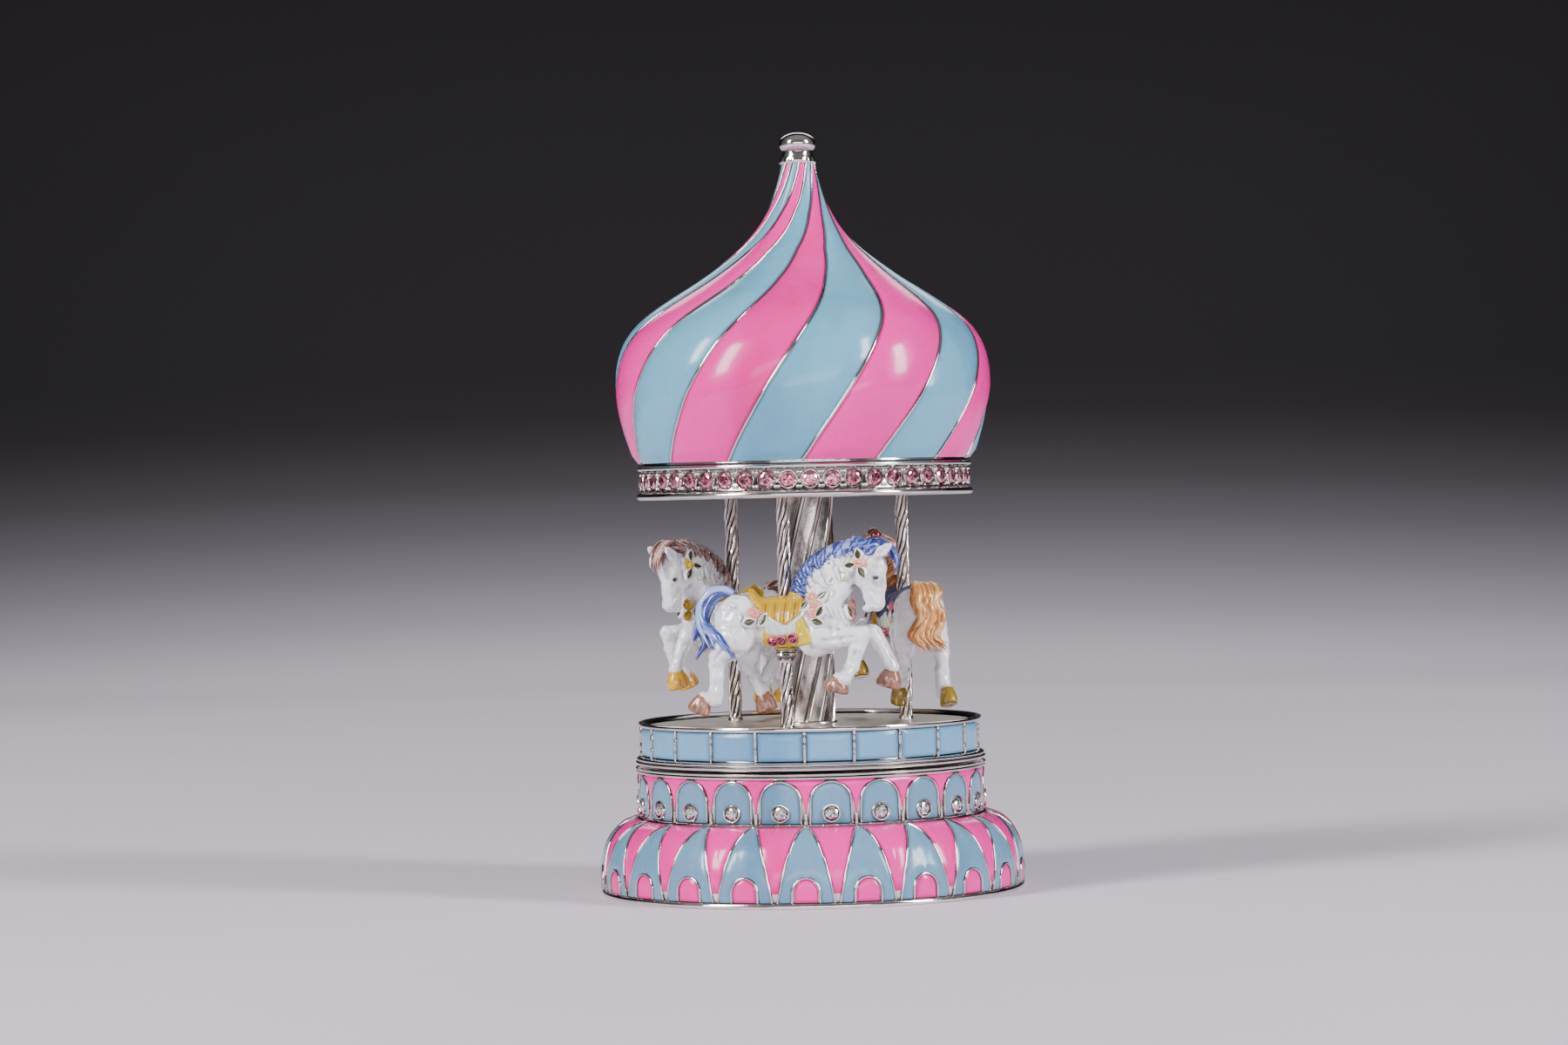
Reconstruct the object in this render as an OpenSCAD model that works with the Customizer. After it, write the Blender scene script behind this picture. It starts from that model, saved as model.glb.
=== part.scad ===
// Carousel music box: enamelled base with a wind-up movement, a turning
// platform with three horses on twisted poles, and a striped onion canopy.
// Units are millimetres, +Z is up, the front faces -Y.

/* [Base] */
// Outer radius of the flared foot
skirt_r = 44; // [38:0.5:50]
// Height of the flared foot, from the table to the drum
skirt_h = 15.6; // [12:0.2:20]
// Outer radius of the drum above the foot
drum_r = 35.9; // [30:0.1:42]
// Height of the top of the drum
drum_top = 25.9; // [22:0.1:32]
// Number of enamel petals and arches round the base
base_cells = 22; // [12:1:32]

/* [Platform] */
// Radius of the platform rim
platform_r = 35.7; // [30:0.1:42]
// Height of the top of the platform rim
platform_top = 35; // [32:0.1:40]
// Depth of the floor below the rim
floor_drop = 1; // [0.4:0.1:2]

/* [Column and poles] */
// Column radius at the platform
column_r0 = 5.2; // [4:0.1:7]
// Column radius at the canopy
column_r1 = 5.8; // [4:0.1:7]
// Distance from the axis to each pole
pole_ring_r = 21.2; // [18:0.1:26]
// Pole radius over the twist
pole_r = 1.45; // [1:0.05:2.5]
// Direction of the first pole, in degrees from +X
pole_az = -102.6; // [-180:0.1:180]

/* [Canopy] */
// Height of the underside of the canopy rim
canopy_z = 81.5; // [75:0.5:95]
// Radius of the canopy rim
canopy_r = 34.6; // [30:0.1:40]
// Largest radius of the dome
dome_r = 38.8; // [34:0.1:46]
// Number of twisted stripes on the dome
stripes = 14; // [8:2:20]
// Number of clear stones round the canopy rim
rim_stones = 48; // [24:1:60]
// Height of the top of the finial
top_z = 157.4; // [140:0.2:170]

/* [Movement] */
// Teeth on the spring barrel's crown gear
crown_teeth = 36; // [30:1:48]
// Teeth on the pinion that the crown gear turns
crown_pinion_teeth = 12; // [10:1:16]
// Teeth on the pinned cylinder's large gear
train_teeth = 30; // [24:1:36]
// Teeth on the governor wheel's pinion
train_pinion_teeth = 10; // [8:1:12]
// Teeth on the governor wheel that turns the worm
worm_wheel_teeth = 16; // [12:1:20]

/* [Key] */
// Width across the wings of the winding key
key_span = 22; // [16:0.5:30]

/* [Hidden] */
cell = 360 / base_cells;
cell_az = -92.2;              // centre of the first petal
stone_az = cell_az + cell / 2;
floor_z = platform_top - floor_drop;
dome_z = canopy_z + 7.4;      // where the dome starts
ceil_z = canopy_z + 1.4;
gore = 360 / stripes;
gore_az = -92;                // edge of a stripe at the dome's foot
shaft_z = 17.8;               // height of the cylinder's shaft
crown_r = 10.2;
crown_pinion_r = crown_r * crown_pinion_teeth / crown_teeth;
train_r = 5.1;
train_pinion_r = train_r * train_pinion_teeth / train_teeth;
gov_y = -(train_r + train_pinion_r);
gov_r = 4;
worm_x = 26.9;
worm_y = gov_y - gov_r - 1.05;
worm_pitch = 2 * PI * gov_r / worm_wheel_teeth;
bed_z = 12.1;                 // top of the bedplate
bed_screws = [[-12, -13], [-12, 13], [26.8, 9]];
silver = [0.80, 0.79, 0.76];
steel = [0.62, 0.63, 0.65];
gold = [0.85, 0.68, 0.32];
pink = [0.90, 0.36, 0.60];
blue = [0.52, 0.72, 0.82];
pearl = [0.93, 0.92, 0.95];
crystal = [0.93, 0.96, 1.0];

// ---------------------------------------------------------------- helpers
function bez(a, b, c, d, t) = pow(1 - t, 3) * a + 3 * pow(1 - t, 2) * t * b + 3 * (1 - t) * t * t * c + pow(t, 3) * d;

// Dome outline [r, z] for t from 0 (rim) to 3 (neck), as three joined curves.
belly = [dome_r, dome_z + 15.3];
waist = [dome_r * 0.477, dome_z + 39.1];
neck = [3.3, dome_z + 63];
function dome(t) =
    t < 1 ? bez([canopy_r - 0.2, dome_z], [canopy_r + 1.8, dome_z + 4.8], belly - [0, 3.6], belly, t)
    : t < 2 ? bez(belly, belly + [0, 14.2], waist + [11.4, -8.6], waist, t - 1)
    : bez(waist, waist + [-7.25, 5.5], neck + [2.05, -13.65], neck, t - 2);

// Twist of the stripes, in degrees, at a height on the dome.
function twist(z) = let (h = (z - dome_z) / (neck[1] - dome_z)) 88 * pow(h, 1.5) - 22 * h * (1 - h) + 18 * sin(180 * min(1, h * 1.6)) * (1 - h);

module ring(r0, r1, h) { difference() { cylinder(r = r1, h = h, $fn = 96); translate([0, 0, -1]) cylinder(r = r0, h = h + 2, $fn = 96); } }

// Spur gear blank with straight-sided teeth, centred on the Z axis.
module gear(r, n, h, add, ded, w0, w1, phase) {
    linear_extrude(h) union() {
        circle(r = r - ded, $fn = 64);
        for (i = [0:n - 1]) rotate(phase + i * 360 / n)
            polygon([[r - ded - 0.3, -w0 / 2], [r + add, -w1 / 2], [r + add, w1 / 2], [r - ded - 0.3, w0 / 2]]);
    }
}

module ball(p, r) { translate(p) sphere(r = r, $fn = 10); }
module limb(p, r, q, s) { hull() { ball(p, r); ball(q, s); } }
module chain(pts) { for (i = [0:len(pts) - 2]) hull() { ball([pts[i][0], pts[i][1], pts[i][2]], pts[i][3]); ball([pts[i + 1][0], pts[i + 1][1], pts[i + 1][2]], pts[i + 1][3]); } }

// Places its children on pole k, with local +X as the horse's way forward.
module at_pole(k) { a = pole_az + 120 * k; rotate(a) translate([pole_ring_r, 0, 48]) rotate(90) children(); }

// ---------------------------------------------------------------- base
// Enamel skin over the foot's slope: the layer from `inset` below the surface.
function foot(d) = [[skirt_r - 0.1 - d, 1.4], [skirt_r - 0.2 - d, 6], [skirt_r - 1 - d, 9.8], [skirt_r - 3.2 - d, 13 - d * 0.4], [drum_r + 1.2 - d, skirt_h - 0.6 - d]];
module foot_skin() { rotate_extrude($fn = 96) polygon(concat(foot(0), [for (i = [4:-1:0]) foot(0.3)[i]])); }

module skirt_shell() color(silver) {
    rotate_extrude($fn = 96) polygon(concat([[skirt_r - 1.9, 0], [skirt_r - 0.5, 0], [skirt_r, 0.4], [skirt_r, 1], [skirt_r - 0.4, 1.3]],
        foot(0.3), [[drum_r + 0.6, skirt_h - 0.9], [drum_r, skirt_h], [34.4, skirt_h], [34.4, skirt_h - 1.8]],
        [for (i = [3:-1:0]) foot(1.9)[i]]));
}

module petal_cut(w, z0, z1) { rotate([90, 0, 90]) translate([0, 0, 30]) linear_extrude(18)
    polygon([for (i = [-8:8]) let (u = abs(i) / 8) [sign(i) * w / 2 * u, z1 - (z1 - z0) * u * u]]); }
module arch_cut(w, z0, zs) { rotate([90, 0, 90]) translate([0, 0, 30]) linear_extrude(18) union() {
    translate([-w / 2, z0]) square([w, zs - z0]); translate([0, zs]) circle(d = w, $fn = 48); } }

module skirt_petals() color(blue) intersection() {
    foot_skin();
    for (i = [0:base_cells - 1]) rotate(cell_az + i * cell) difference() { petal_cut(11.3, 1.3, 14.6); arch_cut(5.4, 1, 3.4); }
}
function wedge_half(t) = 5.9 - 1.1 * pow(t, 4) - 5.65 * sqrt(1 - t);
module skirt_wedges() color(pink) intersection() {
    foot_skin();
    for (i = [0:base_cells - 1]) rotate(cell_az + (i + 0.5) * cell) rotate([90, 0, 90]) translate([0, 0, 30]) linear_extrude(18)
        polygon(concat([for (i = [0:6]) [wedge_half(i / 6), 2.2 + 12.4 * i / 6]], [[4.8, 17], [-4.8, 17]], [for (i = [6:-1:0]) [-wedge_half(i / 6), 2.2 + 12.4 * i / 6]]));
}
module skirt_arches() color(pink) intersection() {
    foot_skin();
    for (i = [0:base_cells - 1]) rotate(cell_az + i * cell) arch_cut(4.7, 1, 3.3);
}

module drum_shell() color(silver) difference() {
  union() {
    for (a = [45:90:315]) rotate(a) { translate([30, 0, 10.1]) cylinder(r = 2.3, h = 6, $fn = 32); translate([30, -2.3, 10.1]) cube([3.8, 4.6, 6]); }
    rotate_extrude($fn = 96) polygon([[34.2, 8.6], [34.4, skirt_h - 1.8], [34.4, skirt_h], [drum_r - 0.3, skirt_h], [drum_r - 0.3, drum_top - 1.6],
        [drum_r + 0.5, drum_top - 1.4], [drum_r + 0.6, drum_top - 0.7], [drum_r + 0.3, drum_top], [34.2, drum_top], [34.2, drum_top - 1.5], [33.2, drum_top - 1.7], [33.2, 8.6]]);
  }
  for (a = [45:90:315]) rotate(a) translate([30, 0, 9]) cylinder(r = 1.05, h = 5, $fn = 32);
}
module drum_skin() { translate([0, 0, skirt_h + 0.1]) ring(drum_r - 0.3, drum_r, 8.5); }
module drum_arches() color(blue) intersection() {
    drum_skin();
    for (i = [0:base_cells - 1]) rotate(stone_az + i * cell) difference() { arch_cut(8.4, skirt_h + 0.3, skirt_h + 3.9); drum_bore(1.95); }
}
module drum_bore(r) { translate([30, 0, skirt_h + 2.7]) rotate([0, 90, 0]) cylinder(r = r, h = 12, $fn = 48); }
module drum_spandrels() color(pink) intersection() {
    drum_skin();
    for (i = [0:base_cells - 1]) rotate(stone_az + (i + 0.5) * cell) rotate([90, 0, 90]) translate([0, 0, 30]) linear_extrude(18)
        polygon([[0, skirt_h + 4.2], [2.1, skirt_h + 7.1], [3.9, skirt_h + 8.2], [-3.9, skirt_h + 8.2], [-2.1, skirt_h + 7.1]]);
}
module drum_bezels() color(silver) for (i = [0:base_cells - 1]) rotate(stone_az + i * cell) translate([drum_r - 0.3, 0, skirt_h + 2.7]) rotate([0, 90, 0]) difference() {
    cylinder(r = 1.9, h = 1.3, $fn = 48);
    translate([0, 0, 0.3]) cylinder(r = 1.45, h = 2, $fn = 48);
}
module drum_stones() color(crystal) for (i = [0:base_cells - 1]) rotate(stone_az + i * cell) translate([drum_r, 0, skirt_h + 2.7]) rotate([0, 90, 0]) {
    cylinder(r = 1.43, h = 0.7, $fn = 48);
    translate([0, 0, 0.7]) cylinder(r1 = 1.43, r2 = 0.8, h = 0.5, $fn = 48);
}

module top_plate() color(steel) translate([0, 0, drum_top - 1.5]) difference() {
    cylinder(r = 34.15, h = 1.3, $fn = 96);
    translate([0, 0, -1]) cylinder(r = 4, h = 4, $fn = 64);
}
module spindle_bush() color(gold) translate([0, 0, drum_top - 2.1]) difference() {
    union() { cylinder(r = 3.98, h = 1.9, $fn = 64); cylinder(r = 5, h = 0.58, $fn = 64); }
    translate([0, 0, -1]) cylinder(r = 2.55, h = 4, $fn = 64);
}
module bottom_plate() color(steel) translate([0, 0, 8.7]) difference() {
    cylinder(r = 33.1, h = 1.3, $fn = 96);
    translate([0, 0, -1]) cylinder(r = 2.6, h = 4, $fn = 48);
    for (a = [45:90:315]) rotate(a) translate([30, 0, -1]) cylinder(r = 1.05, h = 4, $fn = 32);
}
module bottom_screws() color(steel) for (a = [45:90:315]) rotate(a) translate([30, 0, 7.9]) difference() {
    union() { cylinder(r = 1.9, h = 0.8, $fn = 32); cylinder(r = 1.05, h = 5, $fn = 32); }
    translate([-2.5, -0.25, -0.1]) cube([5, 0.5, 0.5]);
}
module bedplate() color(steel) translate([0, 0, bed_z - 1.5]) difference() {
    union() {
        translate([-15, -17, 0]) cube([45, 34, 1.5]);
        for (p = bed_screws) translate([p[0], p[1], -0.6]) cylinder(r = 2.8, h = 0.6, $fn = 48);
    }
    translate([0, 0, -1]) cylinder(r = 1.55, h = 4, $fn = 48);
    for (p = bed_screws) translate([p[0], p[1], -2]) cylinder(r = 1.3, h = 5, $fn = 32);
    translate([25, 12.5, -1]) cube([8, 6, 4]);
    translate([30, -17, 0]) rotate(45) cube([5, 5, 8], center = true);
}
module movement_screws() color(steel) {
    for (p = bed_screws) translate([p[0], p[1], bed_z - 2.1]) difference() {
        union() { cylinder(r = 1.3, h = 2.1, $fn = 32); translate([0, 0, 2.1]) cylinder(r = 2.2, h = 1.1, $fn = 32); }
        translate([-2.5, -0.25, 2.7]) cube([5, 0.5, 0.6]);
    }
    for (x = [15.6, 21.8]) translate([x, 10.4, shaft_z + 0.25]) difference() {
        union() { translate([0, 0, -2.5]) cylinder(r = 0.8, h = 2.5, $fn = 32); cylinder(r = 1.4, h = 0.8, $fn = 32); }
        translate([-2, -0.2, 0.4]) cube([4, 0.4, 0.5]);
    }
}
// Steel comb: 18 tuned teeth, longest in the bass, on a heavy back.
module comb() color([0.72, 0.74, 0.78]) translate([13.4, 0, shaft_z - 0.75]) difference() {
    union() {
        translate([-0.4, 8.6, 0]) cube([11.4, 4.2, 1]);
        translate([-0.4, 8.6, -4.95]) cube([11.4, 4.2, 4.95]);
        for (i = [0:17]) translate([i * 0.6, 5.95, 0.3]) cube([0.4, 2.7, 0.45]);
    }
    for (x = [2.2, 8.4]) translate([x, 10.4, -1.5]) cylinder(r = 0.8, h = 4, $fn = 32);
}
module shaft_brackets() color(steel) difference() {
    union() {
        translate([11.5, -2.2, bed_z]) cube([1.2, 4.4, shaft_z - bed_z + 2]);
        translate([28.3, gov_y - 1.8, bed_z]) cube([1.1, 2.2 - gov_y + 1.8, shaft_z - bed_z + 2]);
        translate([22.6, gov_y - 1.2, bed_z]) cube([1, 2.4, shaft_z - bed_z + 1.6]);
    }
    translate([10, 0, shaft_z]) rotate([0, 90, 0]) cylinder(r = 0.85, h = 24, $fn = 32);
    translate([20, gov_y, shaft_z]) rotate([0, 90, 0]) cylinder(r = 0.55, h = 12, $fn = 32);
}
module governor_frame() color(gold) translate([worm_x, worm_y, 0]) difference() {
    union() {
        translate([-1.4, -3.4, bed_z]) cube([2.8, 4.6, 1.6]);
        translate([-1.4, -3.4, bed_z]) cube([2.8, 1.1, 10.1]);
        translate([-1.4, -3.4, bed_z + 9.5]) cube([2.8, 4.4, 0.6]);
    }
    translate([0, 0, bed_z + 0.5]) cylinder(r = 0.45, h = 12, $fn = 32);
}

// ---------------------------------------------------------------- carousel drive
module spring_barrel() color(gold) {
    difference() {
        union() {
            translate([0, 0, 12.7]) cylinder(r = 8.2, h = 8.2, $fn = 64);
            translate([0, 0, 12.7]) cylinder(r = 11.1, h = 1.05, $fn = 64);
        }
        translate([0, 0, 13.9]) cylinder(r = 7.4, h = 9, $fn = 64);
        translate([0, 0, 11]) cylinder(r = 1.55, h = 5, $fn = 48);
    }
    for (i = [0:crown_teeth - 1]) rotate((i + 0.5) * 360 / crown_teeth) translate([9.3, -0.25, 13.6]) cube([1.75, 0.5, 1.25]);
}
module barrel_cover() color(gold) translate([0, 0, 20.9]) cylinder(r = 8.2, h = 0.8, $fn = 64);
function spiral(d) = [for (i = [0:90]) let (a = i * 20, r = 1.9 + 4.9 * i / 90 + d) [r * cos(a), r * sin(a)]];
module mainspring() color(steel) translate([0, 0, 14.4]) linear_extrude(5.6)
    polygon(concat(spiral(0), [for (i = [90:-1:0]) spiral(0.28)[i]]));
module spindle() color(steel) translate([0, 0, 21.7]) { cylinder(r = 2.5, h = 5.3, $fn = 64); translate([0, 0, 5.3]) cylinder(r = 2, h = 9.5, $fn = 64); }
module hub_nut() color(steel) translate([0, 0, floor_z]) difference() { cylinder(r = 3.6, h = 1.8, $fn = 6); translate([0, 0, -1]) cylinder(r = 2.01, h = 5, $fn = 64); }

module platform() color(silver) {
    rotate_extrude($fn = 96) polygon([[34, 26.2], [platform_r + 0.4, 26.2], [platform_r + 0.7, 26.7], [platform_r + 0.4, 27.3], [platform_r - 0.9, 27.6],
        [platform_r - 0.9, 33.1], [platform_r - 0.2, 33.3], [platform_r, 33.8], [platform_r, platform_top - 0.3], [platform_r - 0.3, platform_top],
        [platform_r - 1.1, platform_top], [platform_r - 1.3, floor_z], [2.01, floor_z], [2.01, floor_z - 1.2], [platform_r - 2.2, floor_z - 1.2], [platform_r - 2.2, 28]]);
    translate([0, 0, 27]) ring(2.01, 6, floor_z - 28);
}
module platform_panels() color([0.50, 0.70, 0.84]) intersection() {
    translate([0, 0, 28]) ring(platform_r - 0.9, platform_r - 0.4, 4.7);
    for (i = [0:base_cells - 1]) rotate(cell_az + (i + 0.5) * cell) translate([30, -4.65, 28]) cube([8, 9.3, 4.7]);
}

module center_column() color(silver) difference() {
    translate([0, 0, floor_z]) union() {
        linear_extrude(height = ceil_z - floor_z, twist = -200, slices = 26, scale = column_r1 / column_r0)
            polygon([for (i = [0:35]) (column_r0 - 0.35 + 0.35 * cos(i * 10 * 9)) * [cos(i * 10), sin(i * 10)]]);
        cylinder(r1 = column_r0 + 1.3, r2 = column_r0 + 0.6, h = 1.4, $fn = 48);
    }
    translate([0, 0, floor_z - 1]) cylinder(r = 4.2, h = 4, $fn = 32);
    translate([0, 0, floor_z - 1]) cylinder(r = 1.5, h = 80, $fn = 24);
}
module tie_rod() color(steel) translate([0, 0, floor_z + 2.6]) cylinder(r = 1.45, h = 149.4 - floor_z - 2.6, $fn = 32);

module twisted(h) { linear_extrude(height = h, twist = -h * 19, slices = ceil(h * 0.6)) polygon([for (i = [0:11]) (pole_r - 0.14 + 0.14 * cos(i * 90)) * [cos(i * 30), sin(i * 30)]]); }
module pole() color(silver) {
    translate([0, 0, floor_z - 48]) twisted(51 - floor_z);
    translate([0, 0, 11.4]) twisted(ceil_z - 48 - 11.4);
}
module pole_fittings() color(silver) for (k = [0:2]) at_pole(k) {
    difference() {
        union() {
            translate([0, 0, 0.8]) cylinder(r1 = 1.9, r2 = 2.7, h = 1.6, $fn = 32);
            translate([0, 0, 0]) cylinder(r = 2.1, h = 0.8, $fn = 32);
        }
        translate([0, 0, -1]) cylinder(r = pole_r + 0.01, h = 6, $fn = 32);
    }
    for (z = [floor_z - 48, ceil_z - 48 - 1.1]) translate([0, 0, z]) ring(pole_r + 0.01, 2.7, 1.1);
}

// ---------------------------------------------------------------- horses
// Local frame: pole on Z, +X forward, Z 0 at the collar under the belly.
module torso(d) { hull() { ball([-7.6, 0, 7.6], 5.2 + d); ball([1, 0, 7.2], 4.9 + d); } hull() { ball([1, 0, 7.2], 4.9 + d); ball([8, 0, 6.2], 4.9 + d); } }
near_fore = [[7, -3, 5, 2.4], [16.4, -3.4, 5.4, 1.5], [12.8, -3.2, -3.6, 1.05]];
far_fore = [[8, 3, 5, 2.4], [17.8, 3.4, 5, 1.45], [21.3, 3.4, -2, 1.05]];
near_hind = [[-8, -2.8, 5.5, 3.4], [-8.4, -3.3, 1.8, 2.2], [-14, -3.3, 1, 1.5], [-14.7, -3.3, -7.6, 1.1]];
far_hind = [[-8, 2.8, 5, 3.4], [-5.4, 3.3, 1.4, 2.1], [-9.4, 3.3, -1.2, 1.4], [-5.9, 3.3, -6.3, 1.05]];
module horse() color(pearl) {
    torso(0);
    chain([[7.6, 0, 8.4, 4.7], [11.4, 0, 15.4, 3.7], [15.2, 0, 21, 2.9]]);
    chain([[16.4, 0, 21.6, 2.9], [18, 0, 16.4, 2.5], [18.5, 0, 11.4, 1.9]]);
    for (s = [-1, 1]) limb([18.6, s * 1.4, 23.4], 0.9, [19.4, s * 1.9, 25.6], 0.25);
    chain(near_fore);
    chain(far_fore);
    chain(near_hind);
    chain(far_hind);
}
module hair(c) color(c) {
    chain([[-12.4, 0, 13, 1.5], [-16, 0, 9.6, 2.3], [-15.8, 0, 4.6, 2.8], [-17.4, 0, 1, 1.4]]);
    chain([[2.6, -1.6, 14, 1.9], [6, -1.2, 19.4, 2.2], [11, -0.8, 22.8, 2], [16, 0, 24.4, 1.5], [20.4, 0, 22.4, 1.2], [22.6, 0, 18, 0.7]]);
}
module hoof(p, a) { translate(p) rotate([0, a, 0]) translate([0, 0, -2.9]) cylinder(r1 = 1.75, r2 = 1.15, h = 2.4, $fn = 32); }
module hooves(c) color(c) { hoof([12.6, -3.2, -3.9], 42); hoof([21.3, 3.4, -2.4], 8); hoof([-14.8, -3.3, -7.8], 48); hoof([-5.7, 3.3, -6.6], 10); }
module tack(c) color(c) {
    difference() { intersection() { torso(0.45); translate([-6.6, -9, 4]) cube([11.2, 18, 12]); } torso(0.02); cylinder(r = 1.7, h = 30, $fn = 32); }
    translate([-6.6, 0, 12.4]) rotate([90, 0, 0]) cylinder(r = 1.1, h = 5, center = true, $fn = 32);
    translate([3.6, 0, 12.2]) rotate([90, 0, 0]) cylinder(r = 0.95, h = 3.6, center = true, $fn = 32);
}

// ---------------------------------------------------------------- canopy
n_t = 36;
function shell_pts(d) = [for (i = [0:n_t]) dome(3 * i / n_t) - [d, 0]];
module canopy_shell() color(silver) rotate_extrude($fn = 96) polygon(concat(
    [[canopy_r - 1.9, canopy_z], [canopy_r - 0.2, canopy_z], [canopy_r + 0.1, canopy_z + 0.5], [canopy_r - 0.2, canopy_z + 1.1], [canopy_r - 0.9, canopy_z + 1.3],
     [canopy_r - 0.9, dome_z - 1.3], [canopy_r - 0.2, dome_z - 1.1], [canopy_r, dome_z - 0.5]],
    [for (i = [0:n_t]) dome(3 * i / n_t) - [0.6, 0]],
    [for (i = [n_t:-1:0]) dome(3 * i / n_t) - [1.8, 0.4]]));
module canopy_ceiling() color(silver) translate([0, 0, ceil_z]) difference() { cylinder(r = canopy_r - 1.95, h = 1.2, $fn = 96); translate([0, 0, -1]) cylinder(r = 1.5, h = 4, $fn = 32); }

// One twisted band between two angles, standing out from the shell by d0..d1.
g_n = 22; g_m = 3;
function on_dome(t, a, d) = let (p = dome(t), b = gore_az + a + twist(p[1])) [(p[0] + d) * cos(b), (p[0] + d) * sin(b), p[1]];
module band(a0, a1, d0, d1, puff) {
    w = g_m + 1;
    outer = [for (i = [0:g_n], j = [0:g_m]) on_dome(0.06 + 2.9 * i / g_n, a0 + (a1 - a0) * j / g_m, d1 + puff * sin(180 * j / g_m) * min(1, dome(0.06 + 2.9 * i / g_n)[0] / 20))];
    inner = [for (i = [0:g_n], j = [0:g_m]) on_dome(0.06 + 2.9 * i / g_n, a0 + (a1 - a0) * j / g_m, d0)];
    n = len(outer);
    polyhedron(concat(outer, inner), concat(
        [for (i = [0:g_n - 1], j = [0:g_m - 1]) each [[i * w + j, (i + 1) * w + j + 1, i * w + j + 1], [i * w + j, (i + 1) * w + j, (i + 1) * w + j + 1]]],
        [for (i = [0:g_n - 1], j = [0:g_m - 1]) each [[n + i * w + j, n + i * w + j + 1, n + (i + 1) * w + j + 1], [n + i * w + j, n + (i + 1) * w + j + 1, n + (i + 1) * w + j]]],
        [for (i = [0:g_n - 1]) each [[i * w, n + i * w, n + (i + 1) * w], [i * w, n + (i + 1) * w, (i + 1) * w]]],
        [for (i = [0:g_n - 1]) each [[i * w + g_m, (i + 1) * w + g_m, n + (i + 1) * w + g_m], [i * w + g_m, n + (i + 1) * w + g_m, n + i * w + g_m]]],
        [for (j = [0:g_m - 1]) each [[j, j + 1, n + j + 1], [j, n + j + 1, n + j]]],
        [for (j = [0:g_m - 1]) each [[g_n * w + j, n + g_n * w + j + 1, g_n * w + j + 1], [g_n * w + j, n + g_n * w + j, n + g_n * w + j + 1]]]));
}
module gores(k) { for (i = [k:2:stripes - 1]) band(i * gore + 0.7, (i + 1) * gore - 0.7, -0.5, 0, 0.5); }
module canopy_gores_pink() color(pink) gores(0);
module canopy_gores_blue() color(blue) gores(1);
module canopy_wires() color(silver) for (i = [0:stripes - 1]) wire(i * gore);
module wire(a) {
    m = 3;
    pts = [for (i = [0:g_n]) let (t = 0.06 + 2.9 * i / g_n, h = 0.62 * 57.3 / max(dome(t)[0], 6)) each [on_dome(t, a - min(0.62, h), -0.5), on_dome(t, a + min(0.62, h), -0.5), on_dome(t, a, 0.35)]];
    polyhedron(pts, concat(
        [for (i = [0:g_n - 1], j = [0:m - 1]) let (k = (j + 1) % m) each [[i * m + j, i * m + k, (i + 1) * m + k], [i * m + j, (i + 1) * m + k, (i + 1) * m + j]]],
        [[2, 1, 0], [g_n * m, g_n * m + 1, g_n * m + 2]]));
}
module around(n) { for (i = [0:n - 1]) rotate(gore_az + i * 360 / n) children(); }
module canopy_stones() color([0.95, 0.75, 0.83]) around(rim_stones) translate([canopy_r - 0.9, 0, canopy_z + 3.75]) rotate([0, 90, 0]) {
    cylinder(r = 1.6, h = 0.9, $fn = 32);
    translate([0, 0, 0.9]) cylinder(r1 = 1.6, r2 = 0.95, h = 0.6, $fn = 32);
}
module stone_prongs() color(silver) around(rim_stones) rotate(180 / rim_stones) for (z = [2.3, 5.2]) translate([canopy_r - 0.9, 0, canopy_z + z]) rotate([0, 90, 0]) cylinder(r = 0.36, h = 1.3, $fn = 24);
module finial() color(silver) rotate_extrude($fn = 64) polygon([[0, 149.5], [1.45, 149.5], [1.45, neck[1]], [3.2, neck[1]], [3.4, neck[1] + 0.8], [3.1, neck[1] + 1.5],
    [3.6, top_z - 4.1], [3.9, top_z - 3.1], [3.5, top_z - 2], [2.8, top_z - 1], [1.7, top_z - 0.3], [0.7, top_z], [0, top_z]]);

// ---------------------------------------------------------------- movement
module along_shaft(y) { translate([0, y, shaft_z]) rotate([0, 90, 0]) children(); }
module pin_cylinder() color(gold) along_shaft(0) {
    translate([0, 0, 13.2]) difference() { cylinder(r = 5, h = 11, $fn = 64); translate([0, 0, -1]) cylinder(r = 0.8, h = 14, $fn = 32); }
    for (i = [0:17], j = [0:2]) rotate(i * 67 + j * (100 + (i * 29) % 40)) translate([4.8, 0, 13.6 + i * 0.6]) rotate([0, 90, 0]) cylinder(r = 0.13, h = 0.55, $fn = 16);
}
module cylinder_shaft() color(steel) along_shaft(0) {
    translate([0, 0, 9]) cylinder(r = 0.8, h = 20.6, $fn = 32);
    translate([0, 0, 9.7]) gear(crown_pinion_r, crown_pinion_teeth, 1, 0.4, 0.62, 0.6, 0.34, 0);
    translate([0, 0, 24.6]) gear(train_r, train_teeth, 1.2, 0.3, 0.4, 0.46, 0.2, -90);
}
module governor_wheel() color(gold) along_shaft(gov_y) {
    translate([0, 0, 22]) cylinder(r = 0.5, h = 7.6, $fn = 32);
    translate([0, 0, 24.4]) gear(train_pinion_r, train_pinion_teeth, 1.6, 0.3, 0.35, 0.4, 0.2, 90 + 180 / train_pinion_teeth);
    translate([0, 0, 26.4]) gear(gov_r, worm_wheel_teeth, 1, 0.3, 0.4, 0.5, 0.26, -90 + 180 / worm_wheel_teeth);
}
module worm() color(steel) translate([worm_x, worm_y, 0]) {
    translate([0, 0, bed_z + 0.6]) cylinder(r = 0.4, h = 11.2, $fn = 24);
    translate([0, 0, shaft_z - worm_pitch * 2.25]) linear_extrude(height = worm_pitch * 4.4, twist = -360 * 4.4, slices = 53) translate([0.35, 0]) circle(r = 0.75, $fn = 12);
}
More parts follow.
